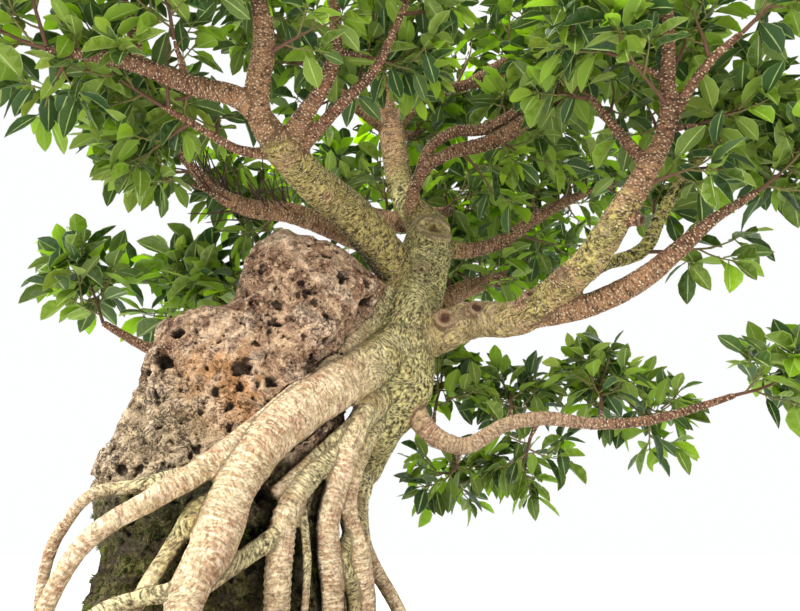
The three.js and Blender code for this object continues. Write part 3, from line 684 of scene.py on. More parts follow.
# %% [markdown]
# The tubes are closed and overlap freely. Remesh takes only their common outside, and a
# few rounds of smoothing turn each fork's crease into a web of bark.

# %% Tubes melted into one skin
TUBE_SIDES = 20
WOOD_VOXEL = 0.0022


def tube(line):
    """Points and faces of a closed round tube on a middle line."""
    turns = np.linspace(0, 2 * math.pi, TUBE_SIDES, endpoint=False)
    ring = (np.cos(turns)[None, :, None] * line["side"][:, None]
            + np.sin(turns)[None, :, None] * line["other"][:, None])
    points = line["middle"][:, None] + ring * line["radius"][:, None, None]
    faces = []
    for r in range(len(points) - 1):
        for i in range(TUBE_SIDES):
            j = (i + 1) % TUBE_SIDES
            a = r * TUBE_SIDES
            faces.append((a + i, a + j, a + TUBE_SIDES + j, a + TUBE_SIDES + i))
    last = (len(points) - 1) * TUBE_SIDES
    faces.append(tuple(reversed(range(TUBE_SIDES))))
    faces.append(tuple(range(last, last + TUBE_SIDES)))
    return points.reshape(-1, 3), faces


wood_points = []
wood_faces = []
for line in LINES.values():
    points, faces = tube(line)
    offset = len(wood_points)
    wood_points.extend(points)
    wood_faces.extend(tuple(i + offset for i in face) for face in faces)
wood = remeshed(mesh_object("wood", wood_points, wood_faces), WOOD_VOXEL, 6)
print("melted wood:", len(wood.data.vertices), "points")

# %% [markdown]
# Now each spot of the skin looks up the middle line it belongs to. It keeps its place
# round and along that limb as its grain, how thick the limb is, how young the bark
# is, and how much moss it may carry. Near a fork two limbs have a say. Their values
# are blended there, and the grain is told to keep calm so that no seam shows.

# %% What each spot of bark knows
MOSSY = {"trunk": 1.0, "limb_left_main": 0.95, "limb_right_moss": 0.95, "limb_middle_right": 0.85,
         "limb_middle_up": 0.8, "root_green": 1.0, "root_main": 0.5, "root_short": 0.7,
         "limb_right_main": 0.85, "limb_knob_right": 0.9, "limb_right_low": 0.6,
         "limb_back_left": 0.7, "limb_low_right": 0.1, "root_left": 0.45,
         "root_rear": 0.7, "root_rear_rock": 0.7, "root_second": 0.3, "stub_0": 1.0,
         "stub_4": 0.8, "stub_6": 0.8, "root_dead": 0.0}
LIMB_MOSS = 0.3
ROOT_MOSS = 0.3
TAN_LIMBS = {"limb_right_main": (0.75, 0.10, 0.20), "limb_low_right": (0.60, 0.16, 0.34)}


TRUNK_YOUNG = (0.66, 0.80)  # between these heights the trunk's bark turns younger
GRAIN_SHIFT = 0.37  # each limb takes its grain from another part of the noise


def eased(value, low, high):
    t = np.clip((value - low) / (high - low), 0, 1)
    return t * t * (3 - 2 * t)


def bark_values(name, line):
    """For every point of a line: how young its bark is, how root-like and how mossy."""
    radius = line["radius"]
    moss = MOSSY.get(name, ROOT_MOSS if name.startswith("root") else LIMB_MOSS)
    if name.startswith("root"):
        root = eased(line["length"], 0.03, 0.14)
        return np.zeros_like(radius), root, np.full_like(radius, moss)
    if name == "trunk":
        higher = eased(line["middle"][:, 2], *TRUNK_YOUNG)
        return higher * 0.45, np.zeros_like(radius), 1 - 0.5 * higher
    young = 0.3 + 0.7 * eased(0.022 - radius, 0.0, 0.014)
    fade = 1 - 0.85 * eased(0.020 - radius, 0.0, 0.011) * (name != "limb_right_moss")
    most, near, far = TAN_LIMBS.get(name, (0, 0, 1))
    return young, most * (1 - eased(line["length"], near, far)), moss * fade


def look_up(spots):
    """Grain, girth, youth, rootness, moss and calm at each of these spots."""
    names = list(LINES)
    nearness = np.empty((len(spots), len(names)), dtype=np.float32)
    values = np.empty((len(spots), len(names), 3), dtype=np.float32)
    nearest = np.empty((len(spots), len(names)), dtype=np.int32)
    for column, name in enumerate(names):
        line = LINES[name]
        middle = line["middle"].astype(np.float32)
        squares = (spots**2).sum(1)[:, None] + (middle**2).sum(1) - 2 * spots @ middle.T
        ratio = np.sqrt(np.maximum(squares, 1e-9)) / line["radius"].astype(np.float32)
        best = ratio.argmin(1)
        nearest[:, column] = best
        nearness[:, column] = ratio[np.arange(len(spots)), best]
        values[:, column] = np.stack(bark_values(name, line), 1)[best]
    order = np.argpartition(nearness, 1, axis=1)[:, :2]
    two = np.take_along_axis(nearness, order, 1)
    owner = np.where(two[:, 0] <= two[:, 1], order[:, 0], order[:, 1])
    calm = eased(np.abs(two[:, 0] - two[:, 1]), 0.05, 0.45)
    weight = np.exp((two.min(1)[:, None] - nearness) / 0.22)
    blended = (values * weight[:, :, None]).sum(1) / weight.sum(1)[:, None]
    grain = np.empty((len(spots), 3), dtype=np.float32)
    flow = np.empty((len(spots), 3), dtype=np.float32)
    girth = np.empty(len(spots), dtype=np.float32)
    for column, name in enumerate(names):
        mine = np.nonzero(owner == column)[0]
        line = LINES[name]
        at = nearest[mine, column]
        away = spots[mine] - line["middle"][at]
        grain[mine, 0] = (away * line["side"][at]).sum(1)
        grain[mine, 1] = (away * line["other"][at]).sum(1)
        grain[mine, 2] = line["length"][at] + (away * line["along"][at]).sum(1)
        grain[mine] += column * GRAIN_SHIFT
        flow[mine] = line["along"][at]
        girth[mine] = line["radius"][at]
    ringed = (owner == names.index("root_ringed")).astype(np.float32)
    return grain, flow, girth, blended, calm, ringed


spots = read(wood.data.vertices, "co")
pieces = [look_up(chunk) for chunk in np.array_split(spots, 12)]
grain, flow, girth, blended, calm, ringed = (np.concatenate(part) for part in zip(*pieces))
print("bark looked up; youngest", round(float(blended[:, 0].max()), 2))

# %% [markdown]
# Pruning scars and knots are drawn as rings: bark swells in a roll round the old cut and
# sinks in its middle. Each is a place, the way it faces and a radius. The first ones
# are the faces of the stubs, and the rest sit on the trunk and the big limbs.

# %% Scars
KNOTS = [
    [[30, 12, 548], [0.2, -1, 0.1], 12],
    [[52, 10, 560], [0.6, -1, 0.1], 9],
    [[8, 4, 520], [-0.2, -1, 0], 9],
    [[232, -138, 536], [0.3, -1, 0.3], 9],
    [[120, -30, 470], [0.1, -1, 0.5], 8],
]
scars = [[stub[1][:3], Vector(stub[1][:3]) - Vector(stub[0][:3]), stub[1][3]] for stub in STUBS]
scars += KNOTS
ROLL_WIDTH, ROLL_HEIGHT = 0.30, 0.24  # all four as shares of the scar's radius
HOLLOW_WIDTH, HOLLOW_DEPTH = 0.52, 0.50
scar_height = np.zeros(len(spots), dtype=np.float32)
scar_place = np.full(len(spots), 3.0, dtype=np.float32)
for centre, facing, radius in scars:
    facing = np.array(Vector(facing).normalized())
    size = radius * 0.001
    away = spots - np.array(in_frame(centre))
    depth = away @ facing
    across = np.linalg.norm(away - depth[:, None] * facing, axis=1) / size
    near = np.exp(-((depth / (size * 1.2)) ** 2))
    roll = np.exp(-(((across - 1.0) / ROLL_WIDTH) ** 2)) * ROLL_HEIGHT
    hollow = -HOLLOW_DEPTH * np.exp(-((across / HOLLOW_WIDTH) ** 2))
    scar_height += (roll + hollow) * size * near
    place = across + 2.5 * (1 - near)
    scar_place = np.minimum(scar_place, place)
print("scars:", len(scars))

# %% [markdown]
# Between roots and in pits the surface sees little sky, so it lies in shade, and dirt and
# algae settle there. The finish paints shade with grime from that. For every point ten
# rays go out over a short reach, and the share that hits something is how sheltered the
# point is.


# %% How sheltered a surface is
SHELTER_RAYS = 10
SHELTER_REACH = 0.05


def solid_tree(thing):
    mesh = thing.data
    return BVHTree.FromPolygons(
        [v.co for v in mesh.vertices], [tuple(p.vertices) for p in mesh.polygons])


def sheltered(thing, obstacles):
    """For each point, the share of short rays that hit one of the obstacles."""
    rays = []
    for i in range(SHELTER_RAYS):
        z = 1 - 2 * (i + 0.5) / SHELTER_RAYS
        turn = i * 2.4
        flat = math.sqrt(1 - z * z)
        rays.append(Vector((flat * math.cos(turn), flat * math.sin(turn), z)))
    shares = []
    for point in thing.data.vertices:
        normal = point.normal
        start = point.co + normal * 0.0015
        hits = 0
        for ray in rays:
            aim = (ray + normal * 1.1).normalized()
            if any(tree.ray_cast(start, aim, SHELTER_REACH)[0] is not None for tree in obstacles):
                hits += 1
        shares.append(hits / SHELTER_RAYS)
    return shares


print("shelter:", SHELTER_RAYS, "rays of", SHELTER_REACH, "m")


# %% [markdown]
# A mesh can carry its own notes: a named attribute holds one value for each point. Both the
# relief and the finish can read it, so that dents and colours agree without any image.

# %% Store it all on the skin
give(wood.data, "grain", grain, "FLOAT_VECTOR")
give(wood.data, "flow", flow, "FLOAT_VECTOR")
for note, values in {
        "girth": girth, "youth": blended[:, 0], "rootness": blended[:, 1], "moss": blended[:, 2],
        "calm": calm, "ringed": ringed, "scar_height": scar_height, "scar": scar_place}.items():
    give(wood.data, note, values)
print("notes on the skin:", len(wood.data.attributes))

# %% [markdown]
# The relief of the bark is made by a geometry tree, because it can read the grain: long
# flutes run with the limb, lumps ignore it, and swellings ring it. The surface
# moves along its normal by their sum. Decimate then takes points from the flat
# stretches, which keeps the thin twigs fine within the same budget.

# %% Bark relief
WOOD_TRIANGLES = 192000


def bark_relief():
    tree, given = geometry_tree("bark_relief", {
        "Flutes": ("Float", 0.17), "Lumps": ("Float", 0.16), "Swellings": ("Float", 0.07),
        "Rings": ("Float", 0.0007)})
    grain = named(tree, "grain", "FLOAT_VECTOR")
    girth = named(tree, "girth")
    calm = named(tree, "calm")
    position = tree.node("GeometryNodeInputPosition")
    round_limb = tree.along(grain, 1.15 / girth)
    flute_place = tree.vector("MULTIPLY", round_limb, (1.0, 1.0, 0.16))
    flutes = tree.noise(flute_place, 1.0, 2.0, 0.5, 0.4) - 0.5
    lumps = tree.noise(position, 42.0, 2.0) - 0.5
    swell_place = tree.vector("MULTIPLY", grain, (6.0, 6.0, 70.0))
    swellings = tree.noise(swell_place, 1.0, 1.0) - 0.5
    ring_wave = tree.parts(grain)[2] * 860.0
    rings = tree.math("SINE", ring_wave + tree.noise(position, 60.0) * 3.0)
    height = girth * (
        flutes * given["Flutes"] * calm
        + lumps * given["Lumps"]
        + swellings * given["Swellings"] * calm)
    height = height + rings * given["Rings"] * named(tree, "ringed") + named(tree, "scar_height")
    offset = tree.along(tree.node("GeometryNodeInputNormal"), height)
    moved = tree.node(
        "GeometryNodeSetPosition", None, {"Geometry": given["Geometry"], "Offset": offset})
    return finish_tree(tree, moved)


grow(wood, bark_relief())
thinned(wood, WOOD_TRIANGLES)
print("wood:", triangles(wood), "triangles")

# %% [markdown]
# ## Finishes
#
# Colours are easiest to judge as they look on a screen, from 0 to 255, so they are
# written that way and turned into linear light. Each finish ends in one Principled
# shader. What is the same all over, such as the gloss of a leaf, sits on its own socket.


# %% Colours, bumps and shaders
def paint(red, green, blue):
    """A screen colour as linear light."""
    parts = [value / 255 for value in (red, green, blue)]
    return (*[p / 12.92 if p <= 0.04045 else ((p + 0.055) / 1.055) ** 2.4 for p in parts], 1.0)


def finish(name):
    """A new material and its empty tree."""
    material = bpy.data.materials.new(name)
    material.use_nodes = True
    material.node_tree.nodes.clear()
    return material, Tree(material.node_tree)


def attribute(tree, name, out="Fac"):
    return tree.node("ShaderNodeAttribute", {"attribute_name": name}, None, out)


def object_place(tree):
    return tree.node("ShaderNodeTexCoord", None, None, "Object")


def bumped(tree, height, depth):
    return tree.node("ShaderNodeBump", None, {"Height": height, "Distance": depth, "Strength": 1.0})


def principled(tree, colour, roughness, normal, **fixed):
    inputs = {"Base Color": colour, "Roughness": roughness}
    if normal is not None:
        inputs["Normal"] = normal
    inputs.update({name.replace("_", " "): value for name, value in fixed.items()})
    return tree.node("ShaderNodeBsdfPrincipled", None, inputs)


def output(tree, shader):
    tree.node("ShaderNodeOutputMaterial", None, {"Surface": shader}, out=None)


def layered(tree, colour, *layers):
    """Lays paints over a colour. Each layer says how much of its paint shows."""
    for amount, coat in layers:
        colour = tree.mix(amount, colour, coat)
    return colour


def surfaced(material, tree, colour, roughness, height, depth, gloss=0.25):
    """The end of a finish: a bumped Principled shader on the output."""
    normal = bumped(tree, height, depth)
    output(tree, principled(tree, colour, roughness, normal, Specular_IOR_Level=gloss))
    return material


def dress(thing, material):
    thing.data.materials.clear()
    thing.data.materials.append(material)
    thing.data.polygons.foreach_set("use_smooth", [True] * len(thing.data.polygons))
    return thing


print("finish helpers ready")

# %% [markdown]
# Fig bark changes with age. Roots are pale tan with fine wrinkles across them. The
# trunk and big limbs carry a film of olive moss. Young limbs are red-brown and dotted
# with pale raised pores. One material holds all of these and mixes them by what
# each spot of the skin knows about itself. Ridges are painted paler and grooves darker,
# partly as the bark's own colour and partly as painted highlight and shade, and sheltered
# spots get painted shade with grime.

# %% Bark
BARK_DEPTH = 0.0026
OLIVE_LIGHT = paint(250, 236, 178)
OLIVE_DARK = paint(80, 68, 40)
ROOT_TAN = paint(226, 196, 150)
ROOT_PALE = paint(254, 238, 206)
ROOT_PINK = paint(204, 156, 118)
ROOT_BROWN = paint(134, 96, 66)
LIMB_TAN = paint(194, 156, 112)
LIMB_BROWN = paint(166, 124, 88)
LIMB_RED = paint(128, 86, 66)
FURROW = paint(70, 50, 36)
MOSS_YELLOW = paint(206, 198, 108)
MOSS_DEEP = paint(64, 62, 28)
PORE_CREAM = paint(242, 222, 188)
SCAR_DARK = paint(96, 66, 50)
SCAR_RIM = paint(206, 176, 140)
BARK_SHADE_AND_GRIME = paint(38, 34, 20)


def toned(tree, colour, shade):
    """A colour made lighter or darker by a factor."""
    grey = tree.node("ShaderNodeCombineColor", None, {0: shade, 1: shade, 2: shade})
    return tree.node("ShaderNodeMix", {"data_type": "RGBA", "blend_type": "MULTIPLY"},
                     {0: 1.0, 6: colour, 7: grey}, 2)


def bark():
    material, tree = finish("bark")
    grain = attribute(tree, "grain", "Vector")
    place = object_place(tree)
    youth = attribute(tree, "youth")
    rootness = attribute(tree, "rootness")
    moss = attribute(tree, "moss")
    calm = attribute(tree, "calm")
    scar = attribute(tree, "scar")
    shelter = attribute(tree, "shelter")
    along = tree.parts(grain)[2]

    bent = tree.swirl(grain, 34.0, 0.012)
    wrinkles = tree.noise(tree.vector("MULTIPLY", bent, (55, 55, 330)), 1.0, 3.0)
    fibres = tree.noise(tree.vector("MULTIPLY", bent, (300, 300, 40)), 1.0, 3.0)
    blotches = tree.noise(place, 13.0, 4.0)
    patches = tree.noise(place, 38.0, 4.0)
    specks = tree.noise(place, 330.0, 2.0)
    streaks = tree.noise(tree.swirl(place, 60.0, 0.010), 210.0, 3.0)
    x, y, z = tree.parts(place)
    contour = (tree.noise(place, 15.0, 1.0) * 54.0 + along * 290.0
               + scar * (1 - tree.step(scar, 1.4, 2.8)) * 5.0)
    strokes = tree.noise(
        tree.joined(contour, x * 156.0 + y * 108.0, z * 144.0 - y * 96.0), 1.0, 4.0, 0.62)
    arcs = tree.math("SINE", along * 1300.0 + patches * 34.0 + streaks * 9.0) * 0.5 + 0.5
    dots = tree.vector("MULTIPLY", grain, (200, 200, 420))
    pore_size = tree.parts(tree.cells(dots, 1.0, "Color"))[0]
    pores = 1 - tree.step(tree.cells(dots, 1.0), 0.14, 0.36)
    pores = pores * tree.step(pore_size, 0.20, 0.45) * (1 - rootness)
    pores = pores * (tree.step(youth, 0.02, 0.40) * 0.7 + 0.3)
    scar_core = 1 - tree.step(scar, 0.45, 0.75)
    scar_rim = tree.step(scar, 0.6, 0.95) * (1 - tree.step(scar, 1.1, 1.5))
    scar_rings = tree.math("SINE", scar * 24.0 + patches * 4.0) * (1 - tree.step(scar, 1.6, 2.3))

    # Here and in the moss film below, colours follow the relief: the bark is paler where strokes,
    # wrinkles and specks rise and darker where they sink, partly its own pattern and partly painted
    # highlight and painted shade.
    relief = strokes * 0.75 + streaks * 0.35
    trunk = layered(
        tree, OLIVE_DARK,
        (tree.step(relief, 0.42, 0.64), OLIVE_LIGHT),
        (tree.step(patches + blotches, 1.02, 1.25) * 0.5, LIMB_TAN))
    root = layered(
        tree, ROOT_TAN,
        (tree.step(patches, 0.42, 0.66), ROOT_PINK),
        (tree.step(arcs * 0.15 + wrinkles, 0.40, 0.80) * 0.7, ROOT_PALE),
        (tree.step(strokes, 0.50, 0.34) * 0.50, ROOT_BROWN),
        (tree.step(streaks + fibres * 0.4, 0.70, 0.88) * 0.6, LIMB_BROWN))
    limb = layered(
        tree, LIMB_TAN,
        (tree.step(youth + blotches * 0.5, 0.45, 0.9), LIMB_BROWN),
        (tree.step(youth + patches * 0.4, 0.95, 1.35), LIMB_RED),
        (tree.step(strokes * 0.6 + wrinkles * 0.5, 0.58, 0.42) * 0.75, FURROW))
    old_wood = tree.mix(tree.step(youth + (blotches - 0.5) * 0.3, 0.02, 0.3), trunk, limb)
    colour = tree.mix(rootness, old_wood, root)
    film = tree.step(moss + shelter * 0.25 + (blotches - 0.5) * 1.2 + (patches - 0.5) * 0.9,
                     0.45, 0.95)
    moss_colour = tree.mix(tree.step(relief, 0.45, 0.65), MOSS_DEEP, MOSS_YELLOW)
    colour = tree.mix(film * (0.50 + youth * 0.7) * (1 - rootness * 0.6), colour, moss_colour)
    # The shade factor is partly painted light: it makes the bark lighter where its relief rises.
    shade = (0.50 + tree.step(wrinkles, 0.3, 0.7) * 0.40 + tree.step(specks, 0.3, 0.7) * 0.36
             + tree.step(strokes, 0.35, 0.65) * 0.24)
    # The pores, scar rims and scar cores are the bark's own colours. The last layer is painted shade
    # with grime, darkest where the skin is most sheltered.
    colour = layered(
        tree, toned(tree, colour, shade),
        (pores * 0.90, PORE_CREAM), (scar_rim * 0.45, SCAR_RIM), (scar_core * 0.85, SCAR_DARK),
        (tree.step(shelter, 0.40, 0.92) * 0.85, BARK_SHADE_AND_GRIME))

    height = (wrinkles * 0.70 * calm + fibres * 0.22 * calm + specks * 0.35 + pores * 0.9
              + strokes * (2.4 - rootness * 1.3) + streaks * 1.0 + arcs * rootness * 0.22
              + scar_rings * 0.35 + patches * 0.5)
    return surfaced(material, tree, colour, 0.70 + specks * 0.2, height, BARK_DEPTH, 0.3)


BARK = bark()
dress(wood, BARK)
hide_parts("banyan")
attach(wood, "root")
wood.name = "banyan_wood"
print("bark nodes:", len(BARK.node_tree.nodes))

# %% [markdown]
# ## Pores on the young wood
#
# The pale pores stand out from the bark, and show along the outline of a twig. A
# texture can't do that, so they are scattered as small lenses. The same geometry tree
# will scatter grit and moss: it spreads points over a surface, never closer than a set
# spacing, turns each copy to the surface and varies its size.


# %% A tree that scatters
def scatter():
    tree, given = geometry_tree("scatter", {
        "Thing": ("Object", None), "Spacing": ("Float", 0.004), "Density": ("Float", 50000.0),
        "Smallest": ("Float", 0.6), "Largest": ("Float", 1.3), "Seed": ("Int", 1),
        "Whirl": ("Float", 5.0), "Finish": ("Material", None)})
    spread = tree.node("GeometryNodeDistributePointsOnFaces", {"distribute_method": "POISSON"}, {
        "Mesh": given["Geometry"], "Distance Min": given["Spacing"],
        "Density Max": given["Density"], "Density Factor": named(tree, "cover"),
        "Seed": given["Seed"]}, out=None)
    chance = tree.node("FunctionNodeRandomValue", {"data_type": "FLOAT_VECTOR"}, {
        0: (-1, -1, -1), 1: (1, 1, 1), "Seed": given["Seed"]})
    lay = tree.vector("ADD", named(tree, "lay", "FLOAT_VECTOR"),
                      tree.along(chance, given["Whirl"]))
    turned = tree.node(
        "FunctionNodeAxesToRotation", {"primary_axis": "Z", "secondary_axis": "X"},
        {0: Socket(tree, spread.outputs["Normal"]), 1: lay})
    size = tree.node("FunctionNodeRandomValue", {"data_type": "FLOAT"}, {
        2: given["Smallest"], 3: given["Largest"], "Seed": given["Seed"] + 7}, 1)
    tint = tree.node("FunctionNodeRandomValue", {"data_type": "FLOAT"}, {
        2: 0.0, 3: 1.0, "Seed": given["Seed"] + 19}, 1)
    thing = tree.node("GeometryNodeObjectInfo", None, {"Object": given["Thing"]}, "Geometry")
    points = stored(tree, Socket(tree, spread.outputs["Points"]), "tint", tint)
    copies = tree.node("GeometryNodeInstanceOnPoints", None, {
        "Points": points, "Instance": thing, "Rotation": turned, "Scale": size})
    return finish_tree(tree, copies, given["Finish"])


SCATTER = scatter()


def scattered(name, surface, cover, thing, values, material, lay=None):
    """Copies of a small thing over a surface, as a piece of their own."""
    ground = bpy.data.objects.new(name, surface.data.copy())
    bpy.context.scene.collection.objects.link(ground)
    give(ground.data, "cover", cover)
    if lay is None:
        lay = np.zeros((len(ground.data.vertices), 3), dtype=np.float32)
    give(ground.data, "lay", lay, "FLOAT_VECTOR")
    values = {"Thing": thing, "Finish": material, **values}
    piece = grow(ground, SCATTER, values)
    dress(piece, material)
    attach(piece, "root")
    bpy.data.objects.remove(thing)
    print(name, "has", triangles(piece), "triangles")
    return piece


# %% [markdown]
# On a living twig a pore is a lens of cork, two to four millimetres long, that lies across
# the twig. A lens of eight faces is enough at that size. Its long side turns across the
# flow of the limb, and young bark gets more of them than old bark does.

# %% Pores
PORE = (0.0022, 0.0011, 0.0010)  # half its length, width and height
PORES_AT_LEAST = 0.16
PORES_FOR_YOUTH = 1.3
SCAR_EDGE = 1.2
PORE_VALUES = {"Spacing": 0.0032, "Density": 80000.0, "Seed": 4, "Smallest": 0.42,
               "Largest": 1.05, "Whirl": 0.35}
PORE_BROWN = paint(176, 140, 100)


def pore_finish():
    material, tree = finish("pore")
    place = object_place(tree)
    tint = attribute(tree, "tint")
    grime = tree.noise(place, 400.0, 2.0)
    colour = tree.mix(tint * 0.6 + grime * 0.4, PORE_CREAM, PORE_BROWN)
    return surfaced(material, tree, colour, 0.75 + grime * 0.15, grime, 0.0003, 0.3)


bark_notes = wood.data.attributes
facing = read(wood.data.vertex_normals, "vector")
across = np.cross(read(bark_notes["flow"].data, "vector"), facing)

long, wide, tall = PORE
pore = mesh_object(
    "pore", [(long, 0, 0), (0, wide, 0), (-long, 0, 0), (0, -wide, 0), (0, 0, tall), (0, 0, -tall)],
    [(0, 1, 4), (1, 2, 4), (2, 3, 4), (3, 0, 4), (1, 0, 5), (2, 1, 5), (3, 2, 5), (0, 3, 5)])

youth, rootness, scar = (read(bark_notes[n].data, "value", 1) for n in ("youth", "rootness", "scar"))
pore_cover = (PORES_AT_LEAST + youth * PORES_FOR_YOUTH) * (1 - rootness) * (scar > SCAR_EDGE)
scattered("pores", wood, np.clip(pore_cover, 0, 1), pore, PORE_VALUES, pore_finish(), across)

# %% [markdown]
# ## The rock
#
# Lava rock froze full of gas bubbles. Broken open, they are pits of every size, and
# the ribs between them catch the light. The solid gives the big shape. A finer skin
# over it is pushed in and out by noise, and then three sizes of Voronoi cells are
# pressed into it. The depth of the pits and the height of the ribs are stored, so the
# finish can paint shade into the pits and a highlight onto the ribs.


# %% Copies of the frame's solids
def copy_of(node, name):
    """A copy of a solid's mesh, its loose triangles merged."""
    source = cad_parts[node]
    thing = bpy.data.objects.new(name, source.data.copy())
    thing.data.transform(source.matrix_world)
    thing.data.materials.clear()
    bpy.context.scene.collection.objects.link(thing)
    weld = thing.modifiers.new("weld", "WELD")
    weld.merge_threshold = 0.00001
    return settle(thing)


print("solids under a skin of their own:", [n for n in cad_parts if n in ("rock", "soil")])


# %% [markdown]
# Three kinds of relief add up. Broken plates and blocks are cells that each lie at their
# own height. The roughness is a noise folded at its middle, which gives ridges. The pits
# are round hollows in some of the cells, and crowd where a slow noise lets them.

# %% Rock relief
ROCK_VOXEL = 0.0023
ROCK_TRIANGLES = 175000


def rock_relief():
    tree, given = geometry_tree("rock_relief", {
        "Plates": ("Float", 0.017), "Blocks": ("Float", 0.007), "Rough": ("Float", 0.009),
        "Vugs": ("Float", 0.013), "Pits": ("Float", 0.0055), "Holes": ("Float", 0.0030)})
    place = tree.node("GeometryNodeInputPosition")
    bent = tree.swirl(place, 14.0, 0.05)
    frayed = tree.swirl(tree.swirl(place, 34.0, 0.024), 120.0, 0.011)

    def steps(vector, scale):
        """Broken plates: every cell lies at its own height."""
        own = tree.cells(vector, scale, "Color", "SMOOTH_F1")
        return tree.parts(own)[0] - 0.5

    plates = steps(bent, 13.0)
    blocks = steps(frayed, 42.0)
    rough = tree.math("ABSOLUTE", tree.noise(bent, 30.0, 5.0) - 0.5) * -2 + 0.2
    crowd = tree.noise(place, 17.0, 2.0)

    def pits(vector, scale, rare, wide):
        """1 in the pits, 0 outside: only some cells have one, more where they crowd."""
        luck = tree.parts(tree.cells(vector, scale, "Color"))[0]
        round_pit = 1 - tree.step(tree.cells(vector, scale), wide * 0.55, wide)
        return round_pit * tree.step(luck + (crowd - 0.5) * 1.6, rare, rare + 0.08)

    stretched = tree.vector("MULTIPLY", frayed, (1.0, 1.0, 1.5))
    vugs = pits(stretched, 28.0, 0.72, 0.38)
    small = pits(frayed, 75.0, 0.55, 0.42)
    fine = pits(frayed, 170.0, 0.45, 0.44)
    height = (plates * given["Plates"] + blocks * given["Blocks"] + rough * given["Rough"]
              - vugs * given["Vugs"] - small * given["Pits"] - fine * given["Holes"])
    pit = vugs * 0.9 + small * 0.8 + fine * 0.6
    marked = stored(tree, given["Geometry"], "pit", pit)
    marked = stored(tree, marked, "rib", rough + blocks * 0.4)
    offset = tree.along(tree.node("GeometryNodeInputNormal"), height)
    moved = tree.node("GeometryNodeSetPosition", None, {"Geometry": marked, "Offset": offset})
    return finish_tree(tree, moved)


rock = remeshed(copy_of("rock", "rock"), ROCK_VOXEL, 10)
grow(rock, rock_relief())
thinned(rock, ROCK_TRIANGLES)
print("rock:", triangles(rock), "triangles")

# %% [markdown]
# Rock and wood take each other's light, so both are obstacles when the shelter of either
# is measured. That waits until here, because both must have their final relief.

# %% Shelter on rock and wood
WOOD_TREE = solid_tree(wood)
ROCK_TREE = solid_tree(rock)
for thing in (wood, rock):
    shares = sheltered(thing, [WOOD_TREE, ROCK_TREE])
    give(thing.data, "shelter", shares)
    print(thing.name, "shelter, mean", round(sum(shares) / len(shares), 2))

# %% [markdown]
# The rock is tan to red-brown, paler where it is worn and rusty in one patch. Damp keeps
# its foot green: below the crossing roots it carries dark moss, painted darker as shade.
# Height above the tray decides where the moss begins, and a noise frays that line. Its
# top is painted lighter, as painted light.

# %% Rock finish
LAVA_TAN = paint(192, 156, 124)
LAVA_BROWN = paint(160, 120, 94)
LAVA_VEIN = paint(216, 182, 146)
LAVA_BURNT = paint(116, 80, 62)
LAVA_RUST = paint(190, 132, 76)
LAVA_WORN = paint(188, 176, 140)
LAVA_RIB_HIGHLIGHT = paint(240, 214, 184)
DAMP_MOSS_AND_SHADE = paint(38, 40, 22)
DAMP_GREEN = paint(104, 106, 50)
PIT_SHADE = paint(36, 26, 22)
HOLE_SHADE = paint(50, 36, 28)
CLEFT_DARK = paint(56, 40, 30)
ROCK_SHADE_AND_GRIME = paint(34, 30, 20)
MOSS_LINE = 0.235  # height of the damp edge
LAVA_DEPTH = 0.0044
RUST_SPOT = (-195, -118, 362)
PALE_SPOT = (-270, -120, 285)


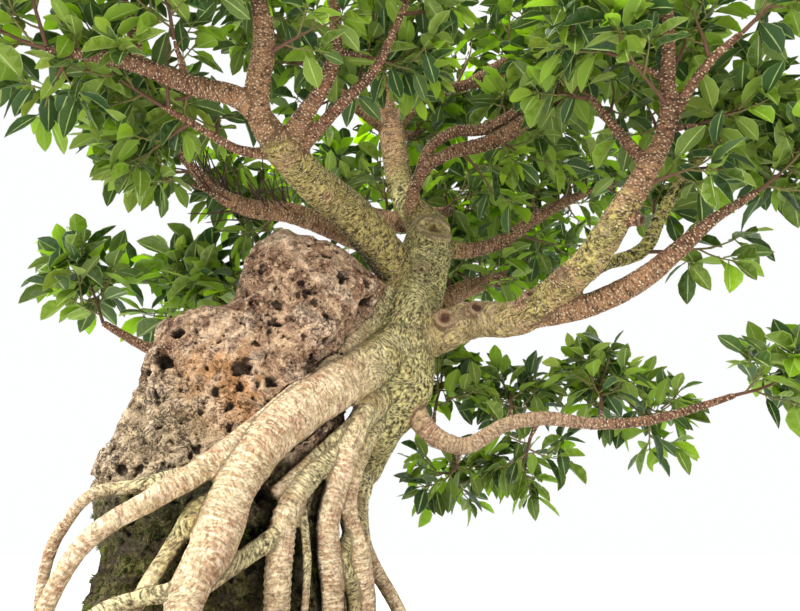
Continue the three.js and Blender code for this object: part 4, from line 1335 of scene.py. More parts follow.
def lava():
    material, tree = finish("lava")
    place = object_place(tree)
    pit = attribute(tree, "pit")
    rib = attribute(tree, "rib")
    shelter = attribute(tree, "shelter")
    blotches = tree.noise(place, 16.0, 4.0)
    patches = tree.noise(place, 60.0, 4.0)
    veins = tree.noise(tree.swirl(place, 40.0, 0.03), 90.0, 4.0)
    grit = tree.noise(place, 420.0, 3.0)
    tiny = 1 - tree.step(tree.cells(tree.swirl(place, 200.0, 0.006), 330.0), 0.12, 0.40)
    tiny = tiny * tree.step(tree.noise(place, 50.0, 2.0), 0.50, 0.66)
    track = tree.noise(tree.swirl(place, 70.0, 0.016), 115.0, 3.0, 0.62)
    cleft = 1 - tree.step(tree.math("ABSOLUTE", track - 0.5), 0.0, 0.05)
    cleft = cleft * tree.step(patches + (blotches - 0.5) * 0.8, 0.40, 0.58)

    def near(spot, reach):
        away = tree.node("ShaderNodeVectorMath", {"operation": "DISTANCE"},
                         {0: place, 1: in_frame(spot)}, "Value")
        return 1 - tree.step(away + (patches - 0.5) * 0.06, reach * 0.4, reach)

    # The last layer, on the ribs of the relief, is a painted highlight.
    colour = layered(
        tree, LAVA_TAN,
        (tree.step(blotches, 0.38, 0.62), LAVA_BROWN),
        (tree.step(veins, 0.46, 0.66), LAVA_VEIN),
        (tree.step(patches, 0.56, 0.70) * 0.7, LAVA_BURNT),
        (near(RUST_SPOT, 0.07) * 0.75, LAVA_RUST),
        (near(PALE_SPOT, 0.13) * 0.5, LAVA_WORN),
        (tree.step(rib, 0.0, 0.30) * 0.50, LAVA_RIB_HIGHLIGHT))
    height_up = tree.parts(place)[2]
    damp = 1 - tree.step(height_up + (blotches - 0.5) * 0.16 + (patches - 0.5) * 0.06
                         - shelter * 0.05, MOSS_LINE - 0.03, MOSS_LINE + 0.03)
    # The damp foot is moss, its darkest green partly painted shade under the crossing roots.
    green = tree.mix(tree.step(patches, 0.4, 0.62), DAMP_MOSS_AND_SHADE, DAMP_GREEN)
    colour = tree.mix(damp * 0.88, colour, green)
    # This shade factor lightens the raised grit and veins, partly as painted highlight, and lightens
    # the top of the rock as painted light where the crown shades it.
    shade = (0.42 + tree.step(grit, 0.3, 0.7) * 0.62 + tree.step(veins, 0.3, 0.7) * 0.50
             + tree.step(height_up, 0.42, 0.56) * 0.16)
    # The pits and tiny holes are painted shade, the clefts are dark cracks, and sheltered spots get
    # painted shade with grime.
    colour = layered(
        tree, toned(tree, colour, shade),
        (tree.step(pit, 0.12, 0.7) * 0.86, PIT_SHADE), (tiny * 0.60, HOLE_SHADE),
        (cleft * 0.70, CLEFT_DARK), (tree.step(shelter, 0.35, 0.95) * 0.75, ROCK_SHADE_AND_GRIME))
    height = grit * 0.8 + patches * 0.6 + veins * 1.2 - tiny * 0.8 - cleft * 0.7
    return surfaced(material, tree, colour, 0.86 + grit * 0.1, height, LAVA_DEPTH)


LAVA = lava()
dress(rock, LAVA)
rock.name = "lava_rock"
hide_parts("rock")
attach(rock, "root")
print("lava nodes:", len(LAVA.node_tree.nodes))

# %% [markdown]
# ## The leaf
#
# One leaf is about 50 mm long: a short stalk, then a blade that is widest in the middle
# and ends in a point. It is folded a little along its midrib and hangs in an arch. With
# thousands of them each may have only a few dozen faces, so the veins are left to the
# finish. Three forms, flatter and more curled, keep the crown from looking stamped.

# %% Three leaf forms
BLADE_START = 0.14
LEAF_ARCH = 0.1
LEAF_OUTLINE = [(0.0, 0.06), (0.18, 0.64), (0.45, 1.0), (0.70, 0.84), (0.89, 0.38), (1.0, 0.0)]
LEAF_FORMS = [
    {"fold": 0.22, "curl": 0.0, "twist": 0.0},
    {"fold": 0.10, "curl": 0.05, "twist": 0.25},
    {"fold": 0.34, "curl": -0.06, "twist": -0.30},
]
BLADE_THICKNESS = 0.010
STALK_HALF = (0.034, 0.016)


def leaf_point(share, across, fold, curl, twist, above):
    """A point of the unit leaf: share along it, across from -1 to 1."""
    blade = max(0.0, (share - BLADE_START) / (1 - BLADE_START))
    half = 0.5 * np.interp(blade, *zip(*LEAF_OUTLINE))
    x = across * half
    z = -LEAF_ARCH * share**2 - curl * blade**3 + fold * abs(x) + twist * blade * x
    return (x, share, z + above)


def leaf_form(name, fold, curl, twist):
    """A closed unit leaf with its own map, its underside marked."""
    points = []
    coordinates = []
    faces = []
    marks = []

    def add(share, across, above, u):
        points.append(leaf_point(share, across, fold, curl, twist, above))
        coordinates.append((u, share))
        return len(points) - 1

    rows = []
    for blade, width in LEAF_OUTLINE:
        share = BLADE_START + blade * (1 - BLADE_START)
        if width == 0:
            tip = add(share, 0, 0, 0.5)
            rows.append((tip, tip, tip, tip))
        else:
            rows.append((
                add(share, -1, 0, 0.0), add(share, 0, BLADE_THICKNESS / 2, 0.5),
                add(share, 1, 0, 1.0), add(share, 0, -BLADE_THICKNESS, 0.5)))
    for lower, upper in zip(rows, rows[1:]):
        for a, b, under in ((0, 1, 0), (1, 2, 0), (2, 3, 1), (3, 0, 1)):
            face = (lower[a], lower[b], upper[b], upper[a])
            faces.append(face[:3] if upper[a] == upper[b] else face)
            marks.append(under)
    faces.append(tuple(reversed(rows[0])))
    marks.append(0)

    wide, tall = STALK_HALF
    stalk = []
    for share in (0.0, BLADE_START + 0.03):
        drop = -LEAF_ARCH * share**2
        for x, z in ((-wide, tall), (wide, tall), (0, -tall)):
            points.append((x, share, z + drop - 0.004))
            coordinates.append((0.5, 0.0))
            stalk.append(len(points) - 1)
    a, b, c, d, e, f = stalk
    faces += [(a, b, e, d), (b, c, f, e), (c, a, d, f), (c, b, a), (d, e, f)]
    marks += [0] * 5

    thing = mesh_object(name, points, faces)
    layer = thing.data.uv_layers.new(name="leaf")
    for corner in thing.data.loops:
        layer.data[corner.index].uv = coordinates[corner.vertex_index]
    under = thing.data.attributes.new("under", "FLOAT", "FACE")
    under.data.foreach_set("value", marks)
    rim = {i for row in rows for i in (row[0], row[2])}
    sharp = [edge.vertices[0] in rim and edge.vertices[1] in rim for edge in thing.data.edges]
    thing.data.attributes.new("sharp_edge", "BOOLEAN", "EDGE").data.foreach_set("value", sharp)
    thing.data.polygons.foreach_set("use_smooth", [True] * len(faces))
    return thing


print("leaf forms:", len(LEAF_FORMS), "rows of points in a blade:", len(LEAF_OUTLINE))


# %% [markdown]
# A fig leaf is dark and glossy above and paler and duller beneath. Its midrib and margin
# are thin pale lines. Light from behind comes through it as lime green: part of the
# shader is Translucent for that. Young leaves, near the tips, are lighter. A random tone
# also makes some leaves dark, partly painted shade, and some lime, partly painted backlight.

# %% Leaf finish
STALK_GREEN = paint(140, 150, 70)
LEAF_OLD_AND_SHADED = paint(30, 60, 26)
LEAF_MATURE = paint(134, 164, 48)
LEAF_YOUNG_AND_BACKLIT = paint(190, 208, 70)
UNDER_OLD_AND_SHADED = paint(50, 84, 36)
LEAF_UNDER = paint(150, 174, 66)
VEIN_PALE = paint(204, 220, 134)
LIGHT_THROUGH = (0.66, 0.92, 0.05, 1)
FAR_LEAVES = (0.0, 0.24)  # behind the trunk more light comes through, from here to here


def leaf_finish():
    material, tree = finish("leaf")
    uv = tree.node("ShaderNodeUVMap", {"uv_map": "leaf"})
    u, share, _ = tree.parts(uv)
    across = tree.math("ABSOLUTE", u - 0.5) * 2
    under = attribute(tree, "under")
    age = attribute(tree, "age")
    tone = attribute(tree, "tone")
    place = object_place(tree)
    mottle = tree.noise(place, 160.0, 3.0)
    midrib = 1 - tree.step(across, 0.03, 0.11)
    margin = tree.step(across, 0.90, 0.98)
    lines = tree.math("FRACT", share * 15.0 - across * 1.9)
    veins = 1 - tree.step(tree.math("ABSOLUTE", lines - 0.5), 0.0, 0.16)
    stalk = 1 - tree.step(share, 0.10, 0.17)

    # Low tones are dark leaves and high tones lime ones: partly age, partly painted shade and
    # painted backlight.
    fresh_and_backlit = tree.step(tone, 0.82, 0.97) * 0.55 + (1 - tree.step(age, 0.05, 0.45)) * 0.9
    top = layered(
        tree, LEAF_OLD_AND_SHADED,
        (tree.step(tone + mottle * 0.2, 0.15, 1.05), LEAF_MATURE), (fresh_and_backlit, LEAF_YOUNG_AND_BACKLIT))
    beneath = layered(
        tree, UNDER_OLD_AND_SHADED,
        (tree.step(tone + mottle * 0.2, 0.25, 0.95), LEAF_UNDER),
        ((1 - tree.step(age, 0.05, 0.5)) * 0.7, LEAF_YOUNG_AND_BACKLIT))
    colour = layered(
        tree, top,
        (under, beneath), (veins * (0.05 + tone * 0.08), VEIN_PALE), (margin * 0.55, VEIN_PALE),
        (midrib * 0.75, VEIN_PALE), (stalk, STALK_GREEN))
    height = veins * 0.25 + midrib * (under * 1.4 - 0.6) + mottle * 0.25
    normal = bumped(tree, height, 0.0005)
    roughness = 0.20 + under * 0.30 + mottle * 0.12
    gloss = principled(tree, colour, roughness, normal, Specular_IOR_Level=0.5, IOR=1.45)
    through = tree.node("ShaderNodeBsdfTranslucent", None, {"Color": LIGHT_THROUGH})
    lit = tree.step(tone, 0.55, 0.90) * 0.40 + (1 - tree.step(age, 0.05, 0.45)) * 0.14
    lit = lit + tree.step(tree.parts(place)[1], *FAR_LEAVES) * tree.step(tone, 0.3, 0.7) * 0.30
    share_through = (0.10 + lit - midrib * 0.1) * (1 - stalk)
    output(tree, tree.node("ShaderNodeMixShader", None, {0: share_through, 1: gloss, 2: through}))
    return material


LEAF = leaf_finish()
leaf_things = [leaf_form(f"leaf_{i}", **form) for i, form in enumerate(LEAF_FORMS)]
for thing in leaf_things:
    thing.data.materials.append(LEAF)
print("one leaf:", triangles(leaf_things[0]), "triangles")

# %% [markdown]
# ## How a spray grows
#
# A spray is a bending spine with shoots round it, each turned by the golden angle from
# the one before. Leaves stand in a loose whorl at the end of a shoot, with older ones
# behind. The solids follow this same rule and the same random stream but build fewer
# leaves. Here every leaf is grown, and each shoot but the last forks once, so that the
# crown closes.

# %% A repeatable random stream, as in the solids
SHOOTS = 7
LEAVES = 9
GOLDEN_TURN = 2.4
UP = Vector((0, 0, 1))


def seeded(seed):
    """Numbers between 0 and 1 from 32-bit whole-number steps."""
    state = seed

    def draw():
        nonlocal state
        state = (state + 0x6D2B79F5) & 0xFFFFFFFF
        t = ((state ^ (state >> 15)) * (state | 1)) & 0xFFFFFFFF
        t ^= (t + ((t ^ (t >> 7)) * (t | 61))) & 0xFFFFFFFF
        return (t ^ (t >> 14)) / 4294967296

    return draw


shown = seeded(1)
print("first numbers of stream 1:", [round(shown(), 3) for _ in range(3)])


# %% [markdown]
# The spine is walked first. Then each shoot is set, with its leaves. The order of the random
# draws is fixed by the solids: one draw more or less would move every leaf after it. What
# two places need, a pair of directions across a shoot and the pose of one leaf, comes from
# two small helpers.

# %% The growth rule, in millimetres
SPINE_STEPS = 3
SPINE_STEP = 0.2  # length of each step, as a share of the reach
SPINE_SWAY = 0.35  # how far chance turns the spine at each step
SPINE_LIFT = 0.06  # how far it turns up towards the light
SHOOT_FORWARD = 0.7  # lean of a side shoot along the spine
SHOOT_OUTWARD = 0.95  # and away from it
SHOOT_SWAY = 0.3
SHOOT_LIFT = 0.12
SHOOT_LENGTH = (0.48, 0.14)  # share of the reach at the foot, and lost by the tip
WHORL_SIZE = 4  # leaves that stand close together at the end of a shoot
WHORL_LEAN = (0.5, 0.8)  # along the shoot and away from it; the last leaf is straight
LEAF_LENGTH = (0.32, 0.08)  # share of the reach, and what chance adds
LEAF_WIDTH = (0.39, 0.06)  # share of the length, and what chance adds
LEAF_DROOP = (0.1, 0.3)
LEAF_SWAY = 0.7


def crosswise(aim):
    """Two directions across a shoot."""
    across = aim.cross(Vector((1, 0, 0)) if abs(aim.z) > 0.9 else UP).normalized()
    return across, across.cross(aim)


def leaf_axis(aim, across, over, turn, back, droop):
    """The way a leaf points: the last one ahead, the others out in a whorl."""
    away = across * math.cos(turn) + over * math.sin(turn)
    straight, aside = (1, 0.1) if back == 0 else WHORL_LEAN
    return (aim * straight + away * aside - UP * droop).normalized()


def grow_spray(base, direction, reach, seed, blade=None):
    """Spine and shoots of one spray; each shoot with its leaves, sized by its reach."""
    blade = blade or reach
    draw = seeded(seed)

    def jitter(size):
        return Vector([(draw() - 0.5) * size for _ in range(3)])

    spine = [base]
    headings = [direction]
    along = direction
    for step in range(SPINE_STEPS):
        along = (along + jitter(SPINE_SWAY) + Vector((0, 0, SPINE_LIFT))).normalized()
        spine.append(spine[step] + along * reach * SPINE_STEP)
        headings.append(along)
    level = UP.cross(direction).normalized()
    steep = direction.cross(level)
    phase = draw() * 2 * math.pi
    shoots = []
    for k in range(SHOOTS):
        last = k == SHOOTS - 1
        share = (k + 1) / SHOOTS
        piece = min(int(share * SPINE_STEPS), SPINE_STEPS - 1)
        start = spine[piece].lerp(spine[piece + 1], share * SPINE_STEPS - piece)
        turn = phase + k * GOLDEN_TURN
        out = level * math.cos(turn) + steep * 0.7 * math.sin(turn)
        forward = headings[piece + 1] * SHOOT_FORWARD
        aim = forward + out * (0.1 if last else SHOOT_OUTWARD) + jitter(SHOOT_SWAY)
        aim = (aim + Vector((0, 0, SHOOT_LIFT))).normalized()
        length = reach * (SHOOT_LENGTH[0] - SHOOT_LENGTH[1] * share) * (0.8 + 0.4 * draw())
        across, over = crosswise(aim)
        leaves = []
        for j in range(LEAVES):
            back = LEAVES - 1 - j
            place = 1 - 0.03 * back if back < WHORL_SIZE else 1 - 0.15 * (back - 2.4)
            droop = LEAF_DROOP[0] + LEAF_DROOP[1] * draw()
            axis = leaf_axis(aim, across, over, turn + back * GOLDEN_TURN, back, droop)
            lift = UP + jitter(LEAF_SWAY)
            normal = (lift - axis * lift.dot(axis)).normalized()
            size = blade * (LEAF_LENGTH[0] + LEAF_LENGTH[1] * draw())
            leaves.append({
                "base": start + aim * length * place, "axis": axis, "normal": normal,
                "length": size, "width": size * (LEAF_WIDTH[0] + LEAF_WIDTH[1] * draw()),
                "back": back})
        shoots.append({"start": start, "aim": aim, "length": length, "turn": turn,
                       "blade": blade, "leaves": leaves})
    return spine, shoots


FORK_LEAVES = 7
FORK_TURN = (1.5, 4.5)
FORK_PLACE = (0.35, 0.6)  # where along its shoot it starts
FORK_LENGTH = (0.6, 0.85)
FORK_DROOP = (0.1, 0.45)
FORK_LEAF = (0.28, 0.39)
FORK_WIDTH = (0.39, 0.45)


def fork(shoot, chance):
    """A shorter side shoot from the middle of a shoot, with its own leaves."""
    aim = shoot["aim"]
    across, over = crosswise(aim)
    turn = shoot["turn"] + chance.uniform(*FORK_TURN)
    out = across * math.cos(turn) + over * math.sin(turn)
    start = shoot["start"] + aim * shoot["length"] * chance.uniform(*FORK_PLACE)
    new_aim = (aim * 0.6 + out * 0.8 + Vector((0, 0, 0.15))).normalized()
    length = shoot["length"] * chance.uniform(*FORK_LENGTH)
    leaves = []
    for back in range(FORK_LEAVES):
        droop = chance.uniform(*FORK_DROOP)
        axis = leaf_axis(new_aim, across, over, turn + back * GOLDEN_TURN, back, droop)
        lift = UP + Vector([chance.uniform(-0.4, 0.4) for _ in range(3)])
        normal = (lift - axis * lift.dot(axis)).normalized()
        size = shoot["blade"] * chance.uniform(*FORK_LEAF)
        leaves.append({
            "base": start + new_aim * length * (1 - 0.09 * back), "axis": axis,
            "normal": normal, "length": size, "width": size * chance.uniform(*FORK_WIDTH),
            "back": back})
    return {"start": start, "aim": new_aim, "length": length, "turn": turn, "leaves": leaves}


print("growth rule ready")

# %% [markdown]
# A leaf that would pass through the wood or the rock isn't grown, as in nature. Nor is
# one that would reach outside the box of the frame. Leaves are written as points that
# carry their direction, size and age, and the twigs as chains of points with edges.

# %% Where a leaf has room
ROOM = 0.010
SPINE_RADII = (2.4, 1.2)
SHOOT_RADII = (1.3, 0.75)
BUD_LENGTH = 8
OBSTACLES = [WOOD_TREE, ROCK_TREE]


def has_room(leaf):
    start = in_frame(leaf["base"] + leaf["axis"] * 6)
    tip = in_frame(leaf["base"] + leaf["axis"] * leaf["length"])
    reach = leaf["length"] * 0.001
    for side in range(3):
        if not cad_box[0][side] - ROOM < tip[side] < cad_box[1][side] + ROOM:
            return False
    for obstacle in OBSTACLES:
        if obstacle.ray_cast(start, leaf["axis"], reach)[0] is not None:
            return False
        if obstacle.find_nearest(start.lerp(tip, 0.5), leaf["width"] * 0.00035)[0] is not None:
            return False
    return True


def twig_chain(points, radii):
    """Points and radii along a twig, ending in a fine bud."""
    ahead = (points[-1] - points[-2]).normalized()
    count = len(points) - 1
    thick = [radii[0] + (radii[1] - radii[0]) * i / count for i in range(count + 1)]
    return (points + [points[-1] + ahead * BUD_LENGTH * 0.5, points[-1] + ahead * BUD_LENGTH],
            thick + [radii[1] * 1.05, 0.15])


def shoot_line(shoot):
    """The bend of a shoot: it sags a little between its ends."""
    sag = Vector((0, 0, -0.24 * shoot["length"]))
    return [shoot["start"] + shoot["aim"] * shoot["length"] * t + sag * t * (1 - t)
            for t in (0, 0.33, 0.67, 1)]


def foliage_object(name, chains, leaf_rows, chance):
    """Twigs as edges and leaves as loose points, all in one object."""
    points, edges, thick = [], [], []
    for line, radii in chains:
        first = len(points)
        points += [in_frame(p) for p in line]
        thick += [r * 0.001 for r in radii]
        edges += [(first + i, first + i + 1) for i in range(len(line) - 1)]
    twig_count = len(points)
    thing = mesh_object(name, points + [in_frame(l["base"]) for l in leaf_rows], (), edges)
    none = [(0, 0, 1)] * twig_count
    sizes = []
    for leaf in leaf_rows:
        size = (0.72 if leaf["back"] == 0 else 1.0) * 0.001
        sizes.append((leaf["width"] * size, leaf["length"] * size, leaf["length"] * size))
    ages = [min(1.0, l["back"] / 5 + chance.uniform(0.0, 0.9)) for l in leaf_rows]
    give(thing.data, "thick", thick + [0.0] * len(leaf_rows))
    give(thing.data, "is_leaf", [0.0] * twig_count + [1.0] * len(leaf_rows))
    give(thing.data, "axis", none + [tuple(l["axis"]) for l in leaf_rows], "FLOAT_VECTOR")
    give(thing.data, "upward", none + [tuple(l["normal"]) for l in leaf_rows], "FLOAT_VECTOR")
    give(thing.data, "leaf_size", none + sizes, "FLOAT_VECTOR")
    give(thing.data, "age", [0.5] * twig_count + ages)
    give(thing.data, "tone", [0.5] * twig_count + [chance.random() for _ in leaf_rows])
    give(thing.data, "form", [0.0] * twig_count + [chance.randrange(3) for _ in leaf_rows])
    return thing


def spray_points(name, base, direction, reach, seed):
    """A whole spray of the frame, each of its shoots forked once."""
    chance = random.Random(seed)
    spine, shoots = grow_spray(base, direction, reach, seed)
    shoots += [fork(shoot, chance) for shoot in shoots[:-1]]
    chains = [twig_chain(spine, SPINE_RADII)]
    chains += [twig_chain(shoot_line(shoot), SHOOT_RADII) for shoot in shoots]
    leaf_rows = [leaf for shoot in shoots for leaf in shoot["leaves"] if has_room(leaf)]
    return foliage_object(name, chains, leaf_rows, chance), len(leaf_rows)


print("leaf room ready")

# %% [markdown]
# A twig is green at its end and turns brown as it thickens. The thickness of its tube is
# stored at each point already, so it decides the colour too.

# %% Twig finish
TWIG_GREEN = paint(134, 132, 70)
TWIG_BROWN = paint(112, 78, 58)
TWIG_DARK = paint(84, 58, 46)
def twig_finish():
    material, tree = finish("twig")
    place = object_place(tree)
    thick = attribute(tree, "thick")
    patches = tree.noise(place, 90.0, 3.0)
    fine = tree.noise(place, 600.0, 2.0)
    colour = layered(
        tree, TWIG_GREEN,
        (tree.step(thick, 0.0008, 0.0018), TWIG_BROWN), (patches * 0.5, TWIG_DARK))
    return surfaced(material, tree, colour, 0.6 + fine * 0.2, fine, 0.0004, 0.35)


TWIG = twig_finish()
print("twig nodes:", len(TWIG.node_tree.nodes))

# %% [markdown]
# One geometry tree makes a whole spray. It draws a tube along the twigs, copies a leaf
# to each leaf point with the right turn and size, and realises everything into one
# mesh. Each spray of the frame gets its own piece, with the same place and reach.


# %% The spray tree
def leafy_spray():
    tree, given = geometry_tree("leafy_spray", {
        "Twig sides": ("Int", 6), "Twig finish": ("Material", None),
        "Leaf finish": ("Material", None), "Leaf A": ("Object", None),
        "Leaf B": ("Object", None), "Leaf C": ("Object", None)})
    chains = tree.node("GeometryNodeMeshToCurve", None, {"Mesh": given["Geometry"]})
    ring = tree.node("GeometryNodeCurvePrimitiveCircle", None, {
        "Resolution": given["Twig sides"], "Radius": 1.0})
    tubes = tree.node("GeometryNodeCurveToMesh", None, {
        "Curve": chains, "Profile Curve": ring, "Scale": named(tree, "thick"),
        "Fill Caps": True})
    tubes = tree.node("GeometryNodeSetMaterial", None, {
        "Geometry": tubes, "Material": given["Twig finish"]})
    forms = [
        tree.node("GeometryNodeObjectInfo", None, {"Object": given[label], "As Instance": True},
                  "Geometry") for label in ("Leaf C", "Leaf B", "Leaf A")]
    leaves = tree.node("GeometryNodeJoinGeometry", None, {"Geometry": forms})
    turn = tree.node(
        "FunctionNodeAxesToRotation", {"primary_axis": "Z", "secondary_axis": "Y"},
        {0: named(tree, "upward", "FLOAT_VECTOR"), 1: named(tree, "axis", "FLOAT_VECTOR")})
    copies = tree.node("GeometryNodeInstanceOnPoints", None, {
        "Points": given["Geometry"], "Selection": named(tree, "is_leaf"), "Instance": leaves,
        "Pick Instance": True, "Instance Index": named(tree, "form"), "Rotation": turn,
        "Scale": named(tree, "leaf_size", "FLOAT_VECTOR")})
    real = tree.node("GeometryNodeRealizeInstances", None, {"Geometry": copies})
    real = tree.node("GeometryNodeSetMaterial", None, {
        "Geometry": real, "Material": given["Leaf finish"]})
    whole = tree.node("GeometryNodeJoinGeometry", None, {"Geometry": [tubes, real]})
    tree.node("NodeGroupOutput", None, {"Geometry": whole}, out=None)
    return tree.group


SPRAY_TREE = leafy_spray()
print("spray tree nodes:", len(SPRAY_TREE.nodes))


# %% [markdown]
# A spray starts just off the end of its limb, where its solid starts. Its place in the list
# is its seed, in the solids as here, so that every leaf of a solid is found again.

# %% Grow every spray
SPRAY_GAP = 0.3
spray_list = []
for name, (azimuth, elevation, reach) in TIP_SPRAYS.items():
    spray_list.append([f"spray_{name}_tip", Vector(LIMBS[name][-1][:3]), azimuth, elevation, reach])
for name, bend, azimuth, elevation, length, reach in SIDE_SPRAYS:
    end = Vector(side_twig(name, bend, azimuth, elevation, length)[1][:3])
    spray_list.append([f"spray_{name}_side_{bend}", end, azimuth, elevation, reach])


def leafed(thing):
    """Run the spray tree on a thing and drop what only the tree needed."""
    grow(thing, SPRAY_TREE, {
        "Twig finish": TWIG, "Leaf finish": LEAF, "Leaf A": leaf_things[0],
        "Leaf B": leaf_things[1], "Leaf C": leaf_things[2]})
    for extra in ("axis", "upward", "leaf_size", "form", "is_leaf"):
        if extra in thing.data.attributes:
            thing.data.attributes.remove(thing.data.attributes[extra])
    thing.data.polygons.foreach_set("use_smooth", [True] * len(thing.data.polygons))
    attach(thing, "root")
    return triangles(thing)


leaf_total = 0
face_total = 0
for i, (node, end, azimuth, elevation, reach) in enumerate(spray_list):
    direction = heading(azimuth, elevation)
    base = end + direction * SPRAY_GAP
    spray, count = spray_points(node.replace("spray", "leaves"), base, direction, reach, 100 + i)
    face_total += leafed(spray)
    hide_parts(node)
    leaf_total += count
print("sprays:", len(spray_list), "leaves:", leaf_total, "triangles:", face_total)

# %% [markdown]
# Short leafy twigs also stand along the limbs, between the sprays, and close the crown.
# They follow the same rule with fewer shoots. They turn round the limb by the golden
# angle, and lean up and away from the front, where a grower keeps the limbs in view.

# %% Leafy twigs along the limbs
TWIG_SPACING = 42
TWIG_FROM = 0.30
REAR_SPACING = 26
REAR_FROM = 0.05
THICKEST_BEARER = 15
TWIG_SHOOTS = 4
TWIG_LEAVES = 6
TWIG_BLADE = 135
TWIG_REACH = (80, 115)
FRONT_LIMIT = -0.45  # a twig that points further to the front than this isn't grown
END_CLEAR = 12
TWIG_TILT = Vector((0, 0.35, 0.30))
BARE_LIMBS = ("low_right", "low_left", "right_low")


def limb_spot(line, i, turn):
    """A place on a limb: its middle in millimetres, a way out of the bark, and its run."""
    out = Vector(line["side"][i]) * math.cos(turn) + Vector(line["other"][i]) * math.sin(turn)
    return (Vector(line["middle"][i]) - SHIFT) * 1000, out, Vector(line["along"][i])


def twigs_on(name, chance):
    """Twig chains and leaves along one limb."""
    line = LINES["limb_" + name]
    chains, leaf_rows = [], []
    lengths = line["length"] * 1000
    rear = name.startswith("rear")
    place = lengths[-1] * (REAR_FROM if rear else TWIG_FROM)
    spacing = REAR_SPACING if rear else TWIG_SPACING
    turn = chance.uniform(0, 6)
    while place < lengths[-1] - END_CLEAR:
        place += spacing * chance.uniform(0.7, 1.3)
        turn += GOLDEN_TURN
        i = min(int(np.searchsorted(lengths, place)), len(lengths) - 1)
        radius = line["radius"][i] * 1000
        if radius > THICKEST_BEARER:
            continue
        middle, out, along = limb_spot(line, i, turn)
        direction = out * 0.8 + along * 0.5 + TWIG_TILT
        direction.normalize()
        if direction.y < FRONT_LIMIT:
            continue
        base = middle + out * radius * 0.8
        reach = chance.uniform(*TWIG_REACH)
        spine, shoots = grow_spray(base, direction, reach, chance.randrange(100000), TWIG_BLADE)
        shoots = shoots[-1:] + shoots[1:TWIG_SHOOTS * 2 - 2:2]
        chains.append(twig_chain(spine, SPINE_RADII))
        for shoot in shoots:
            chains.append(twig_chain(shoot_line(shoot), SHOOT_RADII))
            leaf_rows += [l for l in shoot["leaves"] if l["back"] < TWIG_LEAVES and has_room(l)]
    return chains, leaf_rows


twig_leaves = 0
twig_faces = 0
for name in LIMBS:
    if name in BARE_LIMBS:
        continue
    chance = random.Random(len(name) * 31 + ord(name[0]) + ord(name[-1]) * 7)
    chains, leaf_rows = twigs_on(name, chance)
    if not chains:
        continue
    twig_leaves += len(leaf_rows)
    twig_faces += leafed(foliage_object("twigs_" + name, chains, leaf_rows, chance))
print("leaves between the sprays:", twig_leaves, "triangles:", twig_faces)

# %% [markdown]
# One old limb at the back carries a thicket of bare twigs, dark and dead after too many
# seasons in the shade. They make that part of the crown look grown and not made.

# %% Bare twigs
DEAD_DARK = paint(52, 36, 30)
DEAD_LIGHT = paint(96, 70, 56)
BARE_TWIGS = 70
BARE_LIMB = "back_left"
BARE_SHARE = (0.42, 0.93)  # the stretch of the limb that carries them
BARE_BENDS = 4
BARE_RADII = (1.5, 0.7)


def bare_twigs():
    chance = random.Random(77)
    line = LINES["limb_" + BARE_LIMB]
    chains = []
    for _ in range(BARE_TWIGS):
        i = int(len(line["radius"]) * chance.uniform(*BARE_SHARE))
        turn = chance.uniform(0, 2 * math.pi)
        point, out, along = limb_spot(line, i, turn)
        direction = (along * chance.uniform(0.3, 1.2) + out * 0.8
                     + Vector((0, 0, 0.5))).normalized()
        bends = [point]
        for _ in range(BARE_BENDS):
            direction = (direction + Vector([chance.uniform(-0.25, 0.25) for _ in range(3)])
                         + Vector((0, 0, 0.08))).normalized()
            point = point + direction * chance.uniform(8, 22)
            bends.append(point)
        chains.append(twig_chain(bends, BARE_RADII))
    return chains


def dead_finish():
    material, tree = finish("dead_twig")
    fine = tree.noise(object_place(tree), 500.0, 3.0)
    colour = tree.mix(fine, DEAD_DARK, DEAD_LIGHT)
    return surfaced(material, tree, colour, 0.8 + fine * 0.1, fine, 0.0005)


thicket = foliage_object("bare_twigs", bare_twigs(), [], random.Random(1))
leafed(thicket)
dress(thicket, dead_finish())
for thing in leaf_things:
    bpy.data.objects.remove(thing)
print("bare twigs:", BARE_TWIGS, "triangles:", triangles(thicket))

# %% [markdown]
# ## The tray
#
# A root-over-rock fig stands in a wide, fairly deep stoneware tray, unglazed, so that the
# clay breathes. It is pressed in a mould: sloping walls, a thick turned-out rim, four
# feet and two drain holes. The profile below is walked round a rectangle with round
# corners, and every edge of the profile is rounded as a potter's sponge would round it.

# %% Tray profile and outline
TRAY_SIZE = (0.540, 0.400, 0.096)
TRAY_CORNER = 0.048
CORNER_POINTS = 9
TRAY_PROFILE = [  # inset from the outline, height, rounding, in millimetres
    (120, 14, 0), (26, 14, 3), (8, 77, 2), (0, 79, 4), (0, 96, 5), (21, 96, 5),
    (39, 27, 8), (120, 27, 0),
]
FOOT_HEIGHT = 0.014
FOOT_SIDE = 0.078
FOOT_INSET = 0.042
FOOT_CORNER = 0.012
FOOT_STEPS = ((0.84, 0.0), (0.90, 0.0015), (1.0, FOOT_HEIGHT + 0.002))  # share of side, height
DRAIN_RADIUS = 0.015
DRAIN_SIDES = 28
DRAIN_TOP = 0.06
DRAIN_SPACING = 0.130
tray_middle = Vector(((tray_low[0] + tray_high[0]) / 2, (tray_low[1] + tray_high[1]) / 2, 0))


def rounded(profile, steps=4):
    """A profile in metres with a small arc in place of each corner."""
    smooth = []
    for i, (inset, height, radius) in enumerate(profile):
        here = Vector((inset, height)) * 0.001
        if radius == 0:
            smooth.append(here)
            continue
        before = (Vector(profile[i - 1][:2]) * 0.001 - here).normalized() * radius * 0.001
        after = (Vector(profile[i + 1][:2]) * 0.001 - here).normalized() * radius * 0.001
        for step in range(steps + 1):
            t = step / steps
            smooth.append(here + before * (1 - t)**2 + after * t**2)
    return smooth


